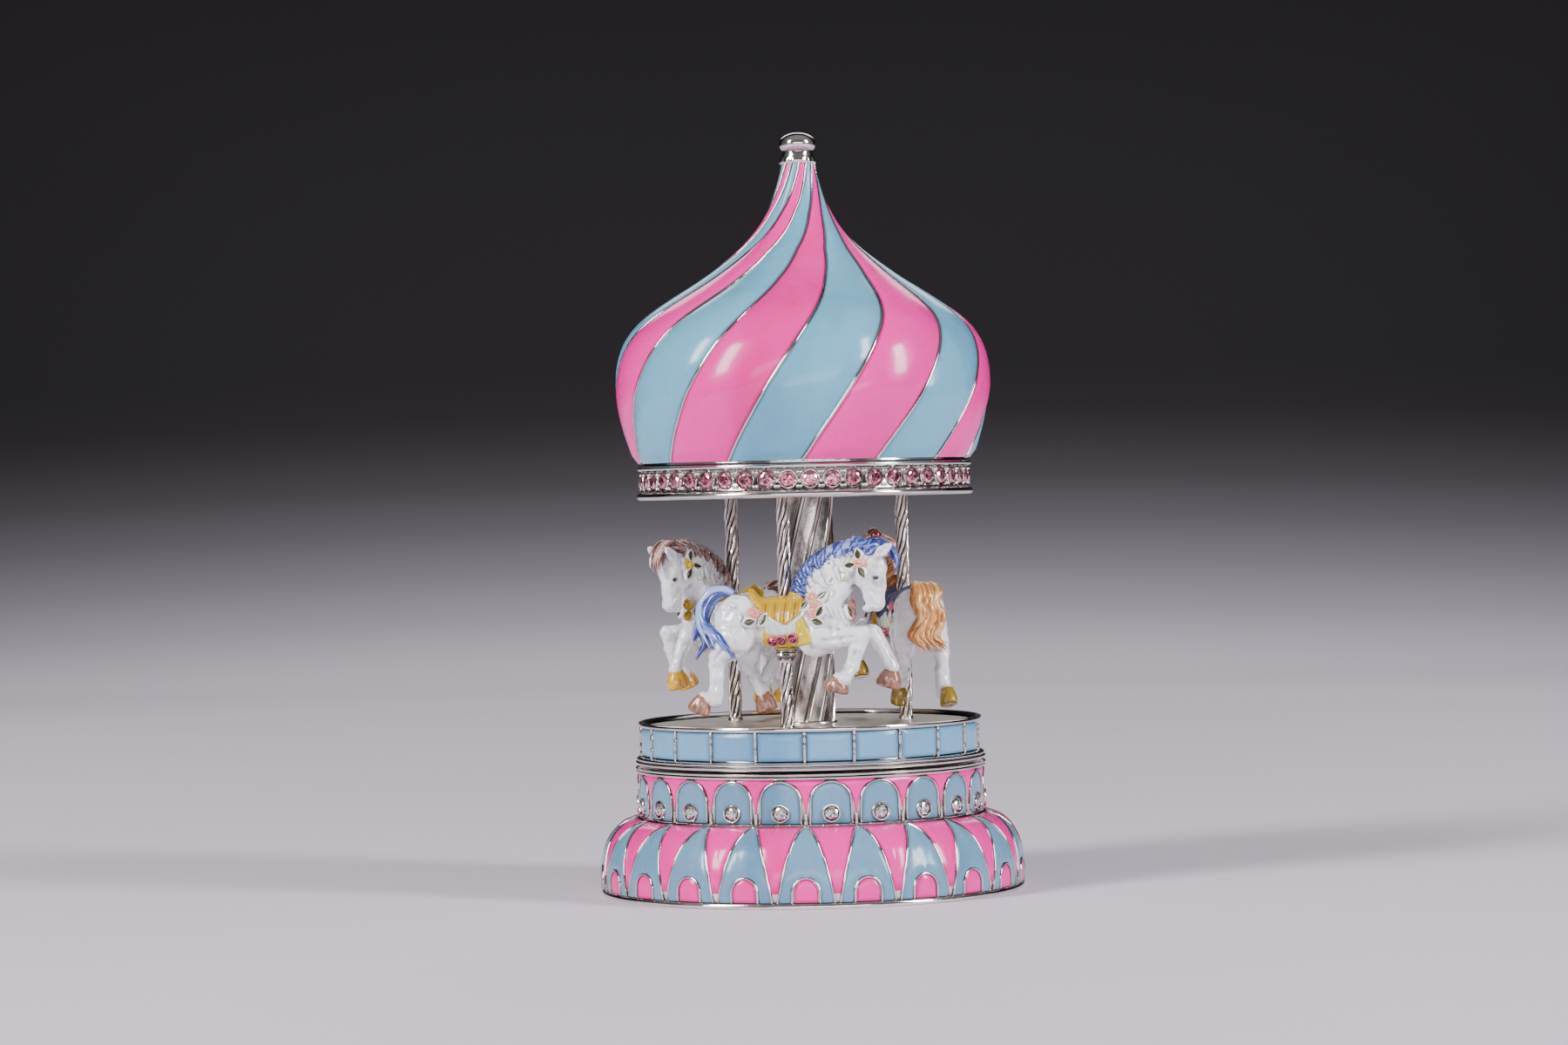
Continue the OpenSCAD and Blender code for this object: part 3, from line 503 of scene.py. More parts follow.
wires, blue, pink = Build(), Build(), Build()
for k in range(CELLS):
    c = CELL_AZ + k * PITCH
    rise = [(S0 + t * (S1 - S0), petal_edge(t) * PITCH) for t in 1 - np.linspace(1, 0, 26) ** 2]
    hw = foot.deg(2.75, 1.0)
    arch = [(c - hw, S0 + u) for u in (0.0, 0.7, 1.4)]
    arch += [(c - hw * math.cos(a), S0 + 1.95 + 2.9 * math.sin(a)) for a in np.linspace(0.0, math.pi, 19)]
    arch += [(c + hw, S0 + u) for u in (1.4, 0.7, 0.0)]
    # the petal wraps over the little arch, so it is laid as two mirrored halves
    for s in BOTH:
        inner = [(c + s * abs(a - c) * (1 + 0.06), q) for a, q in arch[::-s][:13]]
        strip(blue, foot, [(c + s * w, q) for q, w in rise], inner, [(c, arch[12][1]), (c, S1)], 0.10, 0.2)
    wire(wires, foot, [(c - w, q) for q, w in rise] + [(c + w, q) for q, w in rise[-2::-1]], 0.25, 0.36)
    sill = [(c + hw * 0.4, S0 + 0.05), (c - hw * 0.4, S0 + 0.05)]
    cell(pink, foot, [(c + (a - c) * 0.86, S0 + 0.08 + (q - S0) * 0.93) for a, q in arch] + sill, 0.10, 0.22, 5)
    wire(wires, foot, arch, 0.29, 0.4)
    c2, low = c + PITCH / 2, np.linspace(0.10, 1, 22)
    sides = [[(c2 + s * (0.5 - petal_edge(t)) * PITCH * 0.94, S0 + t * (S1 - S0)) for t in low] for s in BOTH]
    top = [(c2 - 0.49 * PITCH * u, foot.L - 0.12) for u in (-1, -0.6, -0.3, 0, 0.3, 0.6, 1)]
    cell(pink, foot, sides[0][::-1] + sides[1] + top, 0.10, 0.18, 5, 4)
blue.piece("foot_petals", "petal", ["skirt_petals"], "base", "enamel_blue", angle=40)
pink.piece("foot_pink_cells", "pink", ["skirt_wedges", "skirt_arches"], "base", "enamel_pink", angle=40)
wires.piece("foot_wires", body="base")

drum = Surf([(R_DRUM - 0.28, z) for z in np.linspace(15.8, 25.3, 30)])
b = Build()
lathe(b, [(34.3, 8.7), (34.3, 15.4)] + from_here(R_DRUM, 0, [
    (0.15, 15.6), (0.42, 15.85), (0.2, 16.15), (-0.26, 16.3), (-0.28, 20), (-0.28, 24.95), (0.0, 25.05), (0.3, 25.25), (0.34, 25.5),
    (0.1, 25.66), (0.22, 25.76), (0.5, 25.9), (0.5, 26.15), (0.3, 26.3)]) + [(34.2, 26.3), (33.2, 26.2), (33.2, 8.7), (34.3, 8.7)], 264)
for k in range(4):
    a = math.radians(45 + 90 * k)
    disc(b, lambda q: np.array([30.6 * math.cos(a) + q[0], 30.6 * math.sin(a) + q[1], 10.1 + q[2]]), [(1.1, 0), (2.3, 0), (2.3, 6), (1.1, 6)])
blue, pink, wires, bezels, stones = (Build() for _ in range(5))
SILL, CROWN = 0.62, 9.15
for k in range(CELLS):
    c = CELL_AZ + PITCH / 2 + k * PITCH
    hw, spring = drum.deg(4.12, 0), CROWN - 4.35
    post = lambda s, ups: [(c + s * hw * (1.0 + 0.02 * (1 - u)), SILL + (spring - SILL) * u) for u in ups]
    arch = post(-1, (0, 0.33, 0.66))
    arch += [(c - hw * math.cos(a), spring + 4.1 * math.sin(a) ** 0.95) for a in np.linspace(0.0, math.pi, 23)]
    arch += post(1, (0.66, 0.33, 0))
    cell(blue, drum, arch + [(c + hw * 0.5, SILL), (c, SILL), (c - hw * 0.5, SILL)], 0.06, 0.2)
    wire(wires, drum, arch, 0.25, 0.36)
    c2, half = c + PITCH / 2, PITCH / 2
    side = [(half - hw * math.cos(a) * 1.02, spring + 4.3 * math.sin(a) ** 0.95) for a in np.linspace(0.32, 1.42, 12)]
    tri = [(c2 - min(q - 0.25, half), z) for q, z in side] + [(c2, CROWN + 0.12)] + [(c2 + min(q - 0.25, half), z) for q, z in side[::-1]]
    gap = half - hw
    cell(pink, drum, [(c2, spring - 2.4), (c2 - gap * 0.3, spring - 1.2), (c2 - gap * 0.5, spring)] +
         [(q, min(z + 0.15, CROWN + 0.3)) for q, z in tri] + [(c2 + gap * 0.5, spring), (c2 + gap * 0.3, spring - 1.2)], 0.06, 0.16)
    wire(wires, drum, [(c2, u) for u in np.linspace(0.3, spring - 2.3, 12)], 0.42, 0.36, 0.0)
    place = on_wall(drum, c, 2.62, 0.05)
    # painted shade at the foot of the bezel and where it meets the stone
    disc(bezels, place, [(2.02, -0.1), (2.0, 0.12), (1.93, 0.42), (1.8, 0.6), (1.62, 0.62), (1.52, 0.5), (1.47, 0.2)], 32, [1, 0.7, 0, 0, 0, 0.5, 1])
    stone(stones, raised(place, 0, 0, 0.22), 1.47, 0.5)
b.piece("drum_wall", "silver", ["drum_shell"], "base", angle=40)
blue.piece("drum_blue_cells", "petal", ["drum_arches"], "base", "enamel_blue", angle=40)
pink.piece("drum_pink_cells", "pink", ["drum_spandrels"], "base", "enamel_pink", angle=40)
wires.piece("drum_wires", body="base")
bezels.piece("drum_bezel_rings", "silver", ["drum_bezels"], "base", angle=45)
stones.piece("drum_set_stones", "clear", ["drum_stones"], "base", "crystal_clear", smooth=False)

# ---------------------------------------------------------------- platform
R_PLAT, FLOOR = wide_mm("platform_panels") + 0.4, top_mm("platform") - 0.4
b = Build()
lathe(b, [(33.9, 26.9)] + from_here(R_PLAT, 0, [
    (0.35, 26.8), (0.62, 27.0), (0.66, 27.35), (0.45, 27.6), (0.25, 27.7), (0.4, 27.82), (0.42, 28.05), (0.2, 28.3), (-0.2, 28.5), (-0.75, 28.6),
    (-0.85, 28.8), (-0.85, 34.5), (-0.3, 34.6), (-0.05, 34.8), (0.02, 35.1), (-0.1, 35.45), (-0.4, 35.6), (-0.9, 35.58), (-1.1, 35.35),
    (-1.25, 34.7), (-1.5, FLOOR + 0.02)]) + [(33.5, FLOOR), (33.5, FLOOR - 1.2), (33.5, 28.6), (33.9, 26.9)], 264)
b.piece("platform_ring", "silver", ["platform"], angle=40)
b = Build()
lathe(b, [(33.6, FLOOR - 1.2), (33.9, FLOOR)] + [(r, FLOOR) for r in np.linspace(33, 6, 12)] + [(3.7, FLOOR), (3.7, FLOOR - 1.2)], 192)
lathe(b, [(2.1, FLOOR - 1.2), (33.6, FLOOR - 1.2)], 96)
lathe(b, [(2.05, 27.0), (6.0, 27.0), (6.0, FLOOR - 1.25)], 64)
b.piece("platform_floor", "deck", angle=40)
wall = Surf([(R_PLAT - 0.85, z) for z in np.linspace(28.6, 34.6, 20)])
panes, wires = Build(), Build()
PANE_LOW, PANE_HIGH, CORNER = 0.22, 5.82, 0.45
for k in range(CELLS):
    c = CELL_AZ + (k + 0.5) * PITCH
    hw, rr = wall.deg(4.68, 0), wall.deg(CORNER, 0)
    o = []
    for sx, z, a0 in ((1, PANE_HIGH - CORNER, 0), (-1, PANE_HIGH - CORNER, 90), (-1, PANE_LOW + CORNER, 180), (1, PANE_LOW + CORNER, 270)):
        for a in np.radians(np.linspace(a0, a0 + 90, 5)):
            o.append((c + sx * (hw - rr) + rr * math.cos(a), z + CORNER * math.sin(a)))
    dense = []
    for p, q in zip(np.array(o), np.roll(o, -1, 0)):
        m = max(1, int(np.hypot((q[0] - p[0]) * 0.62, q[1] - p[1]) / 0.7))
        dense += [tuple(p + (q - p) * u / m) for u in range(m)]
    cell(panes, wall, dense, 0.15, 0.3)
    wire(wires, wall, [(CELL_AZ + k * PITCH, s) for s in np.linspace(0.0, 6.0, 14)], 0.4, 0.62, 0.05)
panes.piece("platform_blue_panels", "panel", ["platform_panels"], slot="enamel_panel", angle=40)
wires.piece("platform_bars")

# ---------------------------------------------------------------- column and poles
CEIL = low_mm("canopy_ceiling")
HUB = FLOOR + 14.0
POLES, POLE_AZ, POLE_R = 3, -102.6, 21.2
b = Build()
RIBS, seg, rows = 9, 270, 110
z, base = np.linspace(FLOOR, CEIL, rows)[:, None], circle(seg)[None]
up = (z - FLOOR) / (CEIL - FLOOR)
turns = base * RIBS / TAU
ph = np.abs(turns % 1.0 - 0.5)
rad = 5.05 + 0.6 * up - 0.2 * (1 - (1 - 2 * ph) ** 2) + 0.34 * bump_at(ph, 0, 0.062) + 0.1 * bump_at(ph, 0.13, 0.03)
# painted shade beside each rib, and painted reflection bands: every other flute darker
dark = np.clip(bump_at(ph, 0.1, 0.04) + 0.4 * (np.floor(turns) % 2) * (ph > 0.17), 0, 1)
b.add(polar(rad, base + np.radians(130 * up), z), grid(rows, seg, False, True), cav=dark + 0 * z)
lathe(b, from_here(0, FLOOR, [(5.0, 0), (5.75, 0), (5.75, 0.25), (5.5, 0.45), (4.9, 0.55)]), 96)
lathe(b, from_here(0, CEIL, [(5.2, -1.5), (6.2, -1.1), (6.6, -0.5), (6.6, 0)]), 96)
b.piece("ribbed_column", "column", ["center_column"], angle=60)


def at_pole(k):
    """The frame of a pole: X is the way its horse faces, and the origin is the horse's."""
    a = math.radians(POLE_AZ + 120 * k)
    c, s = math.cos(a), math.sin(a)
    return np.array([[-s, -c, 0, POLE_R * c], [c, -s, 0, POLE_R * s], [0, 0, 1, HUB], [0, 0, 0, 1.0]])


STRANDS, seg = 7, 84
for k, node in enumerate(("pole_a", "pole_b", "pole_c")):
    b = Build()
    for z0, z1 in ((FLOOR - HUB, 3.2), (10.6, CEIL - HUB)):
        rows = int((z1 - z0) / 0.25)
        base, z = circle(seg)[None], np.linspace(z0, z1, rows)[:, None]
        th = base + np.radians(z * 15) + 0.10 * np.sin(z * 0.9)
        strand = np.abs(np.sin(base * STRANDS / 2)) ** 0.7
        which = np.floor(base * STRANDS / TAU)
        rad = 0.92 + 0.50 * strand * (0.88 + 0.12 * np.sin(z * (0.7 + 0.13 * (which % 3)) + which * 2.1)) + 0.07 * np.abs(np.sin(base * 10.5 + 0.5 * np.sin(z)))
        # painted shade in the grooves between the strands
        b.add(polar(rad, th, z), capped(rows, seg), cav=np.clip(1.35 - 1.8 * strand + 0.1 * np.sin(z * 1.9 + which * 1.3), 0, 1) * 0.95)
    b.piece("twisted_" + node, "column", [node], matrix=at_pole(k), angle=70)
collar, b = Build(), Build()
lathe(collar, [(1.2, -0.5), (1.6, -0.5), (1.7, 0.1), (2.0, 0.5), (2.4, 0.75), (2.5, 0.95), (2.4, 1.3),
               (2.1, 1.45), (2.2, 1.6), (2.6, 2.2), (2.3, 2.5), (1.3, 2.3)], 40)
for z, s, f in ((FLOOR - HUB, 1, 0.56), (CEIL - HUB, -1, 1.0)):
    lathe(collar, [(2.75 * f, z), (2.75 * f, z + s * 0.3), (2.6 * f, z + s * 0.5), (1.5, z + s * 0.7), (1.2, z + s * 0.75)][::s], 40)
for k in range(POLES):
    b.join(collar, at_pole(k))
b.piece("pole_collars", "silver", ["pole_fittings"], angle=40)

# ---------------------------------------------------------------- canopy
CAN_Z, CAN_R = low_mm("canopy_shell"), 34.6
DOME_Z = CAN_Z + 7.4
belly, waist, neck = (np.array([r, DOME_Z + z]) for r, z in ((38.55, 15.3), (18.5, 39.1), (3.3, 63.0)))
dome_pts = np.concatenate([
    bez((CAN_R - 0.2, DOME_Z), (CAN_R + 1.8, DOME_Z + 4.8), belly - [0, 3.6], belly, 30),
    bez(belly, belly + [0, 14.2], waist + [11.4, -8.6], waist, 34)[1:],
    bez(waist, waist + [-7.25, 5.5], neck + [2.05, -13.65], neck, 40)[1:]]) - [0.25, 0]


def twist(z):
    """How many degrees the stripes have turned by height z."""
    h = np.clip((z - DOME_Z) / (neck[1] - DOME_Z), 0, 1.1)
    return np.interp(h, [0, 0.15, 0.29, 0.4, 0.49, 0.59, 0.69, 0.81, 0.9, 1.0], [0, 10.3, 19, 26, 32.6, 40.5, 50, 70, 90, 112])


dome = Surf(dome_pts, twist)
GORES, GORE_AZ = 14, -91.0
GORE = 360 / GORES
b = Build()
lathe(b, from_here(CAN_R, CAN_Z, [
    (-1.9, 0.1), (-0.5, 0), (0, 0.1), (0.3, 0.4), (0.36, 0.8), (0.2, 1.2), (-0.2, 1.45), (-0.62, 1.55), (-0.75, 1.75), (-0.75, 5.75),
    (-0.62, 5.95), (-0.15, 6.05), (0.12, 6.3), (0.12, 6.6), (-0.1, 6.8), (-0.35, 6.95), (-0.3, 7.3)]) +
      [(r - 0.3, z) for r, z in dome_pts[1::2]] + from_here(0, neck[1], [(1.6, 0), (1.6, -3), (5, -12)]) +
      [(CAN_R - 3, DOME_Z + 20), (CAN_R - 1.9, DOME_Z), (CAN_R - 1.9, CAN_Z + 0.1)], 240)
b.piece("canopy_body", "silver", ["canopy_shell"], angle=50)
gores, wires = (Build(), Build()), Build()
nl, nw, nd = 120, 15, 130
for k in range(GORES):
    s, u = np.linspace(0.25, dome.L - 0.05, nl)[:, None], np.linspace(-1, 1, nw)[None]
    rr = np.interp(s, dome.s, dome.p[:, 0])
    th = GORE_AZ + (k + 0.5) * GORE + u * (GORE / 2 - np.degrees(0.24 / rr))
    crown = 0.06 + 0.62 * np.minimum(1, rr / 26) * (1 - np.abs(u) ** 2.4) * np.minimum(1, (s - 0.1) / 2.2) + 0.10 * (1 - np.abs(u) ** 8)
    v = dome.at(th, s, crown)[0]
    # edge marks the gore's flanks and lower lip for the enamel's painted shade
    gores[k % 2].add(v, grid(nl, nw), edge=np.broadcast_to(np.abs(u) ** 10, th.shape))
    gores[k % 2].add(np.concatenate([dome.at(th[0], s[0], -0.35)[0], v[0]]), grid(2, nw), edge=1.0)
    path = np.linspace(0.1, dome.L, nd)
    P, N = dome.at(GORE_AZ + k * GORE, path)
    width = np.interp(np.interp(path, dome.s, dome.p[:, 0]), [3, 10, 25, 39], [0.16, 0.2, 0.27, 0.38])
    tube(wires, P, N, worn(width, nd, 0.08), 0.34, 8, 0.02, cav=WIRE_SIDE_SHADE)
for build, colour in zip(gores, ("pink", "blue")):
    build.piece(f"canopy_{colour}_gores", colour, ["canopy_gores_" + colour], slot="enamel_" + colour, angle=60)
wires.piece("canopy_divider_wires", "silver", ["canopy_wires"])

RIM = 48
band = Surf([(CAN_R - 0.75, z) for z in np.linspace(CAN_Z, DOME_Z, 20)])
stones, beads = Build(), Build()
for k in range(RIM):
    place = on_wall(band, GORE_AZ + (k + 0.35) * 360 / RIM, 3.75, 0.0)
    # painted shade at the foot of the setting and round its inner lip
    disc(beads, place, [(2.0, -0.1), (1.94, 0.12), (1.84, 0.26), (1.72, 0.26), (1.66, 0.02)], 28, [0.5, 0, 0, 0, 0.9])
    stone(stones, raised(place, 0, 0, 0.02), 1.68, 0.55)
    for sx in BOTH:
        for sy in BOTH:
            disc(beads, raised(place, 1.9 * sx, 1.4 * sy, 0.1), [(0.36 * math.cos(t), 0.36 * math.sin(t)) for t in np.linspace(-0.5, 1.45, 6)], 12)
stones.piece("canopy_set_stones", "rose", ["canopy_stones"], slot="crystal_rose", smooth=False)
beads.piece("canopy_stone_beads", "silver", ["stone_prongs"], angle=50)
b = Build()
lathe(b, from_here(0, neck[1], [(1.45, -1.6), (3.3, -1.5), (3.8, -0.95), (3.75, -0.4), (3.45, 0.2), (3.25, 0.8), (3.15, 1.2)]) +
      [(3.9 * math.cos(a), neck[1] + 2.95 + 2.4 * math.sin(a)) for a in np.linspace(-0.62, math.pi / 2, 40)], 96,
      wobble=lambda th, z: np.where(z < neck[1], 0.1 * np.cos(th * GORES), 0.0))
b.piece("finial_knob", "silver", ["finial"], angle=50)

# ---------------------------------------------------------------- horses
class Sculpt:
    """A solid modelled as a distance field on a grid, blended softly from balls and tapered limbs."""

    def __init__(self, lo, hi, step):
        self.lo, self.step = np.array(lo, float), step
        self.n = np.ceil((np.array(hi, float) - self.lo) / step).astype(int) + 1
        self.d = np.full(self.n, 2.5, np.float32)

    def window(self, lo, hi):
        i0 = np.maximum(0, np.floor((lo - self.lo) / self.step).astype(int))
        i1 = np.minimum(self.n, np.ceil((hi - self.lo) / self.step).astype(int) + 1)
        ax = [(self.lo[k] + self.step * np.arange(i0[k], i1[k])).astype(np.float32) for k in range(3)]
        return tuple(slice(a, c) for a, c in zip(i0, i1)), np.meshgrid(*ax, indexing="ij", sparse=True)

    def merge(self, sl, d, k, cut):
        a = self.d[sl]
        if cut:
            h = np.clip(0.5 - 0.5 * (a + d) / k, 0, 1)
            self.d[sl] = a * (1 - h) - d * h + k * h * (1 - h)
        else:
            h = np.clip(0.5 + 0.5 * (d - a) / k, 0, 1)
            self.d[sl] = d * (1 - h) + a * h - k * h * (1 - h)

    def limb(self, pts, k=0.7, cut=False):
        """Tapered rods through [x, y, z, radius] points."""
        for p, q in zip(pts[:-1], pts[1:]):
            r, s = p[3], q[3]
            p, q = np.array(p[:3], float), np.array(q[:3], float)
            pad = max(r, s) + k + 0.8
            sl, (X, Y, Z) = self.window(np.minimum(p, q) - pad, np.maximum(p, q) + pad)
            w = q - p
            h = np.clip(((X - p[0]) * w[0] + (Y - p[1]) * w[1] + (Z - p[2]) * w[2]) / (w @ w), 0, 1)
            d = np.sqrt((X - p[0] - w[0] * h) ** 2 + (Y - p[1] - w[1] * h) ** 2 + (Z - p[2] - w[2] * h) ** 2) - (r + (s - r) * h)
            self.merge(sl, d, k, cut)

    def ball(self, c, rad, k=1.0, tilt=0.0, cut=False):
        """An ellipsoid, its long way tipped forward by tilt degrees."""
        pad = max(rad) + k + 0.8
        c = np.array(c, float)
        sl, (X, Y, Z) = self.window(c - pad, c + pad)
        X, Y, Z = X - c[0], Y - c[1], Z - c[2]
        cos_t, sin_t = math.cos(math.radians(tilt)), math.sin(math.radians(tilt))
        U, W = X * cos_t - Z * sin_t, X * sin_t + Z * cos_t
        k0 = np.sqrt((U / rad[0]) ** 2 + (Y / rad[1]) ** 2 + (W / rad[2]) ** 2)
        k1 = np.sqrt((U / rad[0] ** 2) ** 2 + (Y / rad[1] ** 2) ** 2 + (W / rad[2] ** 2) ** 2)
        self.merge(sl, k0 * (k0 - 1) / np.maximum(k1, 1e-5), k, cut)

    def sample(self, field, p):
        g = np.clip((np.asarray(p, float) - self.lo) / self.step, 0, np.array(self.n) - 1.001)
        i = g.astype(int)
        f = g - i
        out = 0
        for dx in (0, 1):
            for dy in (0, 1):
                for dz in (0, 1):
                    w = abs(1 - dx - f[..., 0]) * abs(1 - dy - f[..., 1]) * abs(1 - dz - f[..., 2])
                    out = out + w * field[i[..., 0] + dx, i[..., 1] + dy, i[..., 2] + dz]
        return out

    def normal(self, p):
        e = 0.25
        p = np.asarray(p, float)
        return unit(np.stack([self.sample(self.d, p + e * a) - self.sample(self.d, p - e * a) for a in np.eye(3)], -1))

    def mesh(self, field=None):
        """(vertices, quads, hollows): hollows is how deep in a crease each vertex lies, and is used as painted shade.
        """
        d = self.d if field is None else field
        g = vdb.FloatGrid(2.5)
        g.copyFromArray(np.clip(d, -2, 2.5).astype(np.float32))
        g.transform = vdb.createLinearTransform(voxelSize=self.step)
        v, q = g.convertToQuads(isovalue=0.0)
        v = np.asarray(v, float) + self.lo
        q = np.asarray(q, int)
        soft = np.clip(self.d, -1.2, 1.2)
        for axis in range(3):
            for r in (1, 2, 4):
                soft = (np.roll(soft, r, axis) + np.roll(soft, -r, axis) + soft) / 3
        hollow = np.clip(-self.sample(soft, v) * 3.2, 0, 1)
        a, c = v[q[:, 2]] - v[q[:, 0]], v[q[:, 3]] - v[q[:, 1]]
        n = np.cross(a, c)
        mid = v[q].mean(1)
        out = self.sample(d, mid + unit(n) * 0.6 * self.step) - self.sample(d, mid - unit(n) * 0.6 * self.step)
        if np.median(out) < 0:
            q = q[:, ::-1]
        return v, q, hollow

    def side(self, x, z, s, off=0.0):
        """The point on side s of the body, off above its skin, seen from x and z."""
        y = s * np.arange(0.0, 9.0, 0.05)
        p = np.stack([np.full_like(y, x), y, np.full_like(y, z)], -1)
        d = self.sample(self.d, p) - off
        inside = np.nonzero(d < 0)[0]
        k = inside[-1] if len(inside) else 0
        return p[k], self.normal(p[k])


STEP = 0.19
ROOM = (-20.5, -8.2, -12.0), (25.0, 8.2, 28.5)


def model(sculpt, steps, sides=(1,)):
    """Blends in balls (a centre first) and limbs (a list of points first), mirrored to each side."""
    for s in sides:
        for shape, *rest in steps:
            if isinstance(shape, list):
                sculpt.limb([(x, s * y, z, r) for x, y, z, r in shape], *rest)
            else:
                sculpt.ball((shape[0], s * shape[1], shape[2]), *rest)


horse = Sculpt(*ROOM, STEP)
# trunk
model(horse, [((1.0, 0, 7.3), (9.6, 4.5, 4.9), 1.5), ((-9.2, 0, 9.0), (4.7, 4.3, 4.2), 1.5), ((8.2, 0, 7.4), (5.0, 4.3, 5.2), 1.5)])
model(horse, [
    ((-9.6, 2.0, 7.4), (4.9, 3.3, 5.6), 1.5, 12), ((6.6, 2.5, 4.6), (3.6, 2.2, 4.1), 1.4),
    ((6.4, 2.9, 8.4), (3.2, 1.7, 4.8), 1.2, 24), ((10.6, 1.9, 8.4), (2.6, 2.0, 3.2), 1.0)], BOTH)
# neck and crest
model(horse, [
    ((9.9, 0, 15.6), (4.5, 3.0, 7.6), 1.6, 34),
    ([(3.8, 0, 12.6, 2.0), (5.6, 0, 16.6, 2.1), (8.8, 0, 19.6, 2.1), (12.6, 0, 21.4, 2.1), (16.6, 0, 21.8, 2.0)], 1.2)])
model(horse, [([(14.0, 1.9, 17.4, 1.2), (11.2, 2.5, 13.0, 1.5), (9.0, 2.9, 9.6, 1.6)], 1.2)], BOTH)
# head: skull, jaw, muzzle and lip, then brow, eye, lids, cheek, nostril, mouth and ear
model(horse, [
    ((17.7, 0, 19.6), (3.3, 2.4, 3.6), 1.2),
    ([(19.0, 0, 18.6, 2.25), (19.1, 0, 15.0, 1.75), (19.15, 0, 12.0, 1.4)], 0.9),
    ([(17.0, 0, 16.6, 2.1), (17.7, 0, 12.6, 1.45), (17.7, 0, 11.0, 1.2)], 0.8),
    ((18.9, 0, 11.2), (1.75, 1.55, 1.7), 0.7), ((17.2, 0, 10.3), (1.15, 1.1, 0.85), 0.4)])
model(horse, [
    ((16.6, 1.3, 17.2), (2.5, 1.35, 2.9), 0.8, -14), ((19.2, 1.7, 17.7), (1.4, 0.8, 0.7), 0.6, 10),
    ((19.4, 2.3, 16.35), (0.85, 0.6, 0.6), 0.35, 0, True),
    ([(18.5, 2.0, 16.7, 0.24), (19.4, 2.0, 17.05, 0.28), (20.2, 1.75, 16.6, 0.2)], 0.25),
    ([(18.6, 2.0, 16.0, 0.17), (19.4, 1.98, 15.7, 0.2), (20.1, 1.75, 16.1, 0.16)], 0.25),
    ([(16.6, 1.9, 15.0, 0.25), (18.2, 1.75, 12.8, 0.25), (18.6, 1.35, 11.9, 0.2)], 0.5),
    ((19.3, 1.3, 10.9), (0.8, 0.45, 0.75), 0.4),
    ([(19.15, 1.75, 11.0, 0.34), (19.6, 1.5, 10.6, 0.26)], 0.25, True),
    ([(15.9, 1.2, 10.75, 0.14), (17.4, 1.45, 10.75, 0.17), (18.6, 1.6, 10.1, 0.12)], 0.25, True),
    ([(19.3, 1.6, 20.8, 1.05), (20.5, 2.1, 21.6, 1.08), (21.7, 2.35, 22.4, 0.72), (22.7, 2.35, 23.1, 0.18)], 0.4),
    ([(20.4, 3.0, 21.3, 0.6), (21.5, 3.05, 22.1, 0.42), (22.1, 2.85, 22.6, 0.14)], 0.3, True)], BOTH)
# legs, the near side at -Y: near fore, off fore, near hind, off hind
model(horse, [
    ([(7.2, -2.7, 4.6, 2.8), (11.6, -3.1, 4.5, 2.1), (15.6, -3.3, 4.9, 1.72)], 1.0),
    ([(15.6, -3.3, 4.9, 1.7), (16.9, -3.3, 5.2, 1.35), (15.5, -3.3, 2.2, 1.5),
      (14.2, -3.3, -1.4, 1.42), (13.1, -3.3, -3.7, 1.52), (12.4, -3.3, -4.1, 1.42)], 0.6),
    ([(7.8, 2.7, 4.6, 2.8), (13.4, 3.1, 4.7, 2.05), (17.4, 3.3, 4.9, 1.75)], 1.0),
    ([(17.4, 3.3, 4.9, 1.75), (19.0, 3.3, 2.4, 1.55), (20.6, 3.3, -0.8, 1.4), (21.3, 3.3, -2.0, 1.42)], 0.6),
    ((-10.4, -2.9, 5.0), (3.8, 2.2, 4.7), 1.2, 24),
    ([(-9.6, -2.9, 4.4, 3.2), (-12.0, -3.2, 2.0, 2.2), (-13.6, -3.3, 0.5, 1.65)], 1.0),
    ([(-14.3, -3.3, 1.2, 1.0), (-13.7, -3.3, -0.4, 1.45), (-13.7, -3.3, -3.4, 1.38), (-14.1, -3.3, -6.4, 1.42), (-14.3, -3.3, -8.0, 1.5)], 0.6),
    ([(-8.4, 2.9, 4.2, 3.2), (-8.6, 3.1, 1.0, 2.3), (-9.3, 3.3, -0.9, 1.6)], 1.0),
    ([(-9.9, 3.3, -0.6, 0.9), (-9.0, 3.3, -1.6, 1.4), (-7.4, 3.3, -4.0, 1.32), (-6.1, 3.3, -6.0, 1.42), (-5.8, 3.3, -6.6, 1.35)], 0.6)])
# muscle lines
model(horse, [(line, 0.9, True) for line in (
    [(-6.2, 4.6, 3.6, 0.3), (-6.6, 4.95, 6.6, 0.35), (-8.0, 4.9, 9.6, 0.25)],
    [(4.4, 5.0, 5.4, 0.3), (4.0, 5.0, 9.0, 0.3)],
    [(8.6, 5.0, 12.0, 0.3), (10.6, 4.5, 9.0, 0.35), (10.2, 5.0, 6.4, 0.3)])], BOTH)
model(horse, [(line, 0.7, True) for line in (
    [(9.0, -5.3, 4.0, 0.3), (12.4, -5.1, 4.3, 0.3), (15.0, -4.95, 4.6, 0.25)],
    [(15.4, -4.8, 1.4, 0.25), (14.2, -4.8, -1.6, 0.25), (13.4, -4.8, -3.2, 0.2)],
    [(-11.6, -5.3, 2.8, 0.3), (-13.4, -5.0, 0.8, 0.25)],
    [(-13.7, -4.75, -1.2, 0.25), (-13.9, -4.75, -5.0, 0.25), (-14.2, -4.8, -7.2, 0.2)],
    [(10.0, 5.3, 4.2, 0.3), (14.0, 5.2, 4.5, 0.3), (16.8, 5.0, 4.7, 0.25)],
    [(18.2, 4.85, 3.4, 0.25), (19.8, 4.85, 0.6, 0.25), (20.9, 4.75, -1.4, 0.2)],
    [(-8.8, 5.3, 2.4, 0.3), (-9.1, 5.0, 0.2, 0.25)],
    [(-9.0, 4.8, -1.8, 0.25), (-7.4, 4.7, -4.0, 0.25), (-6.2, 4.7, -6.0, 0.2)])])
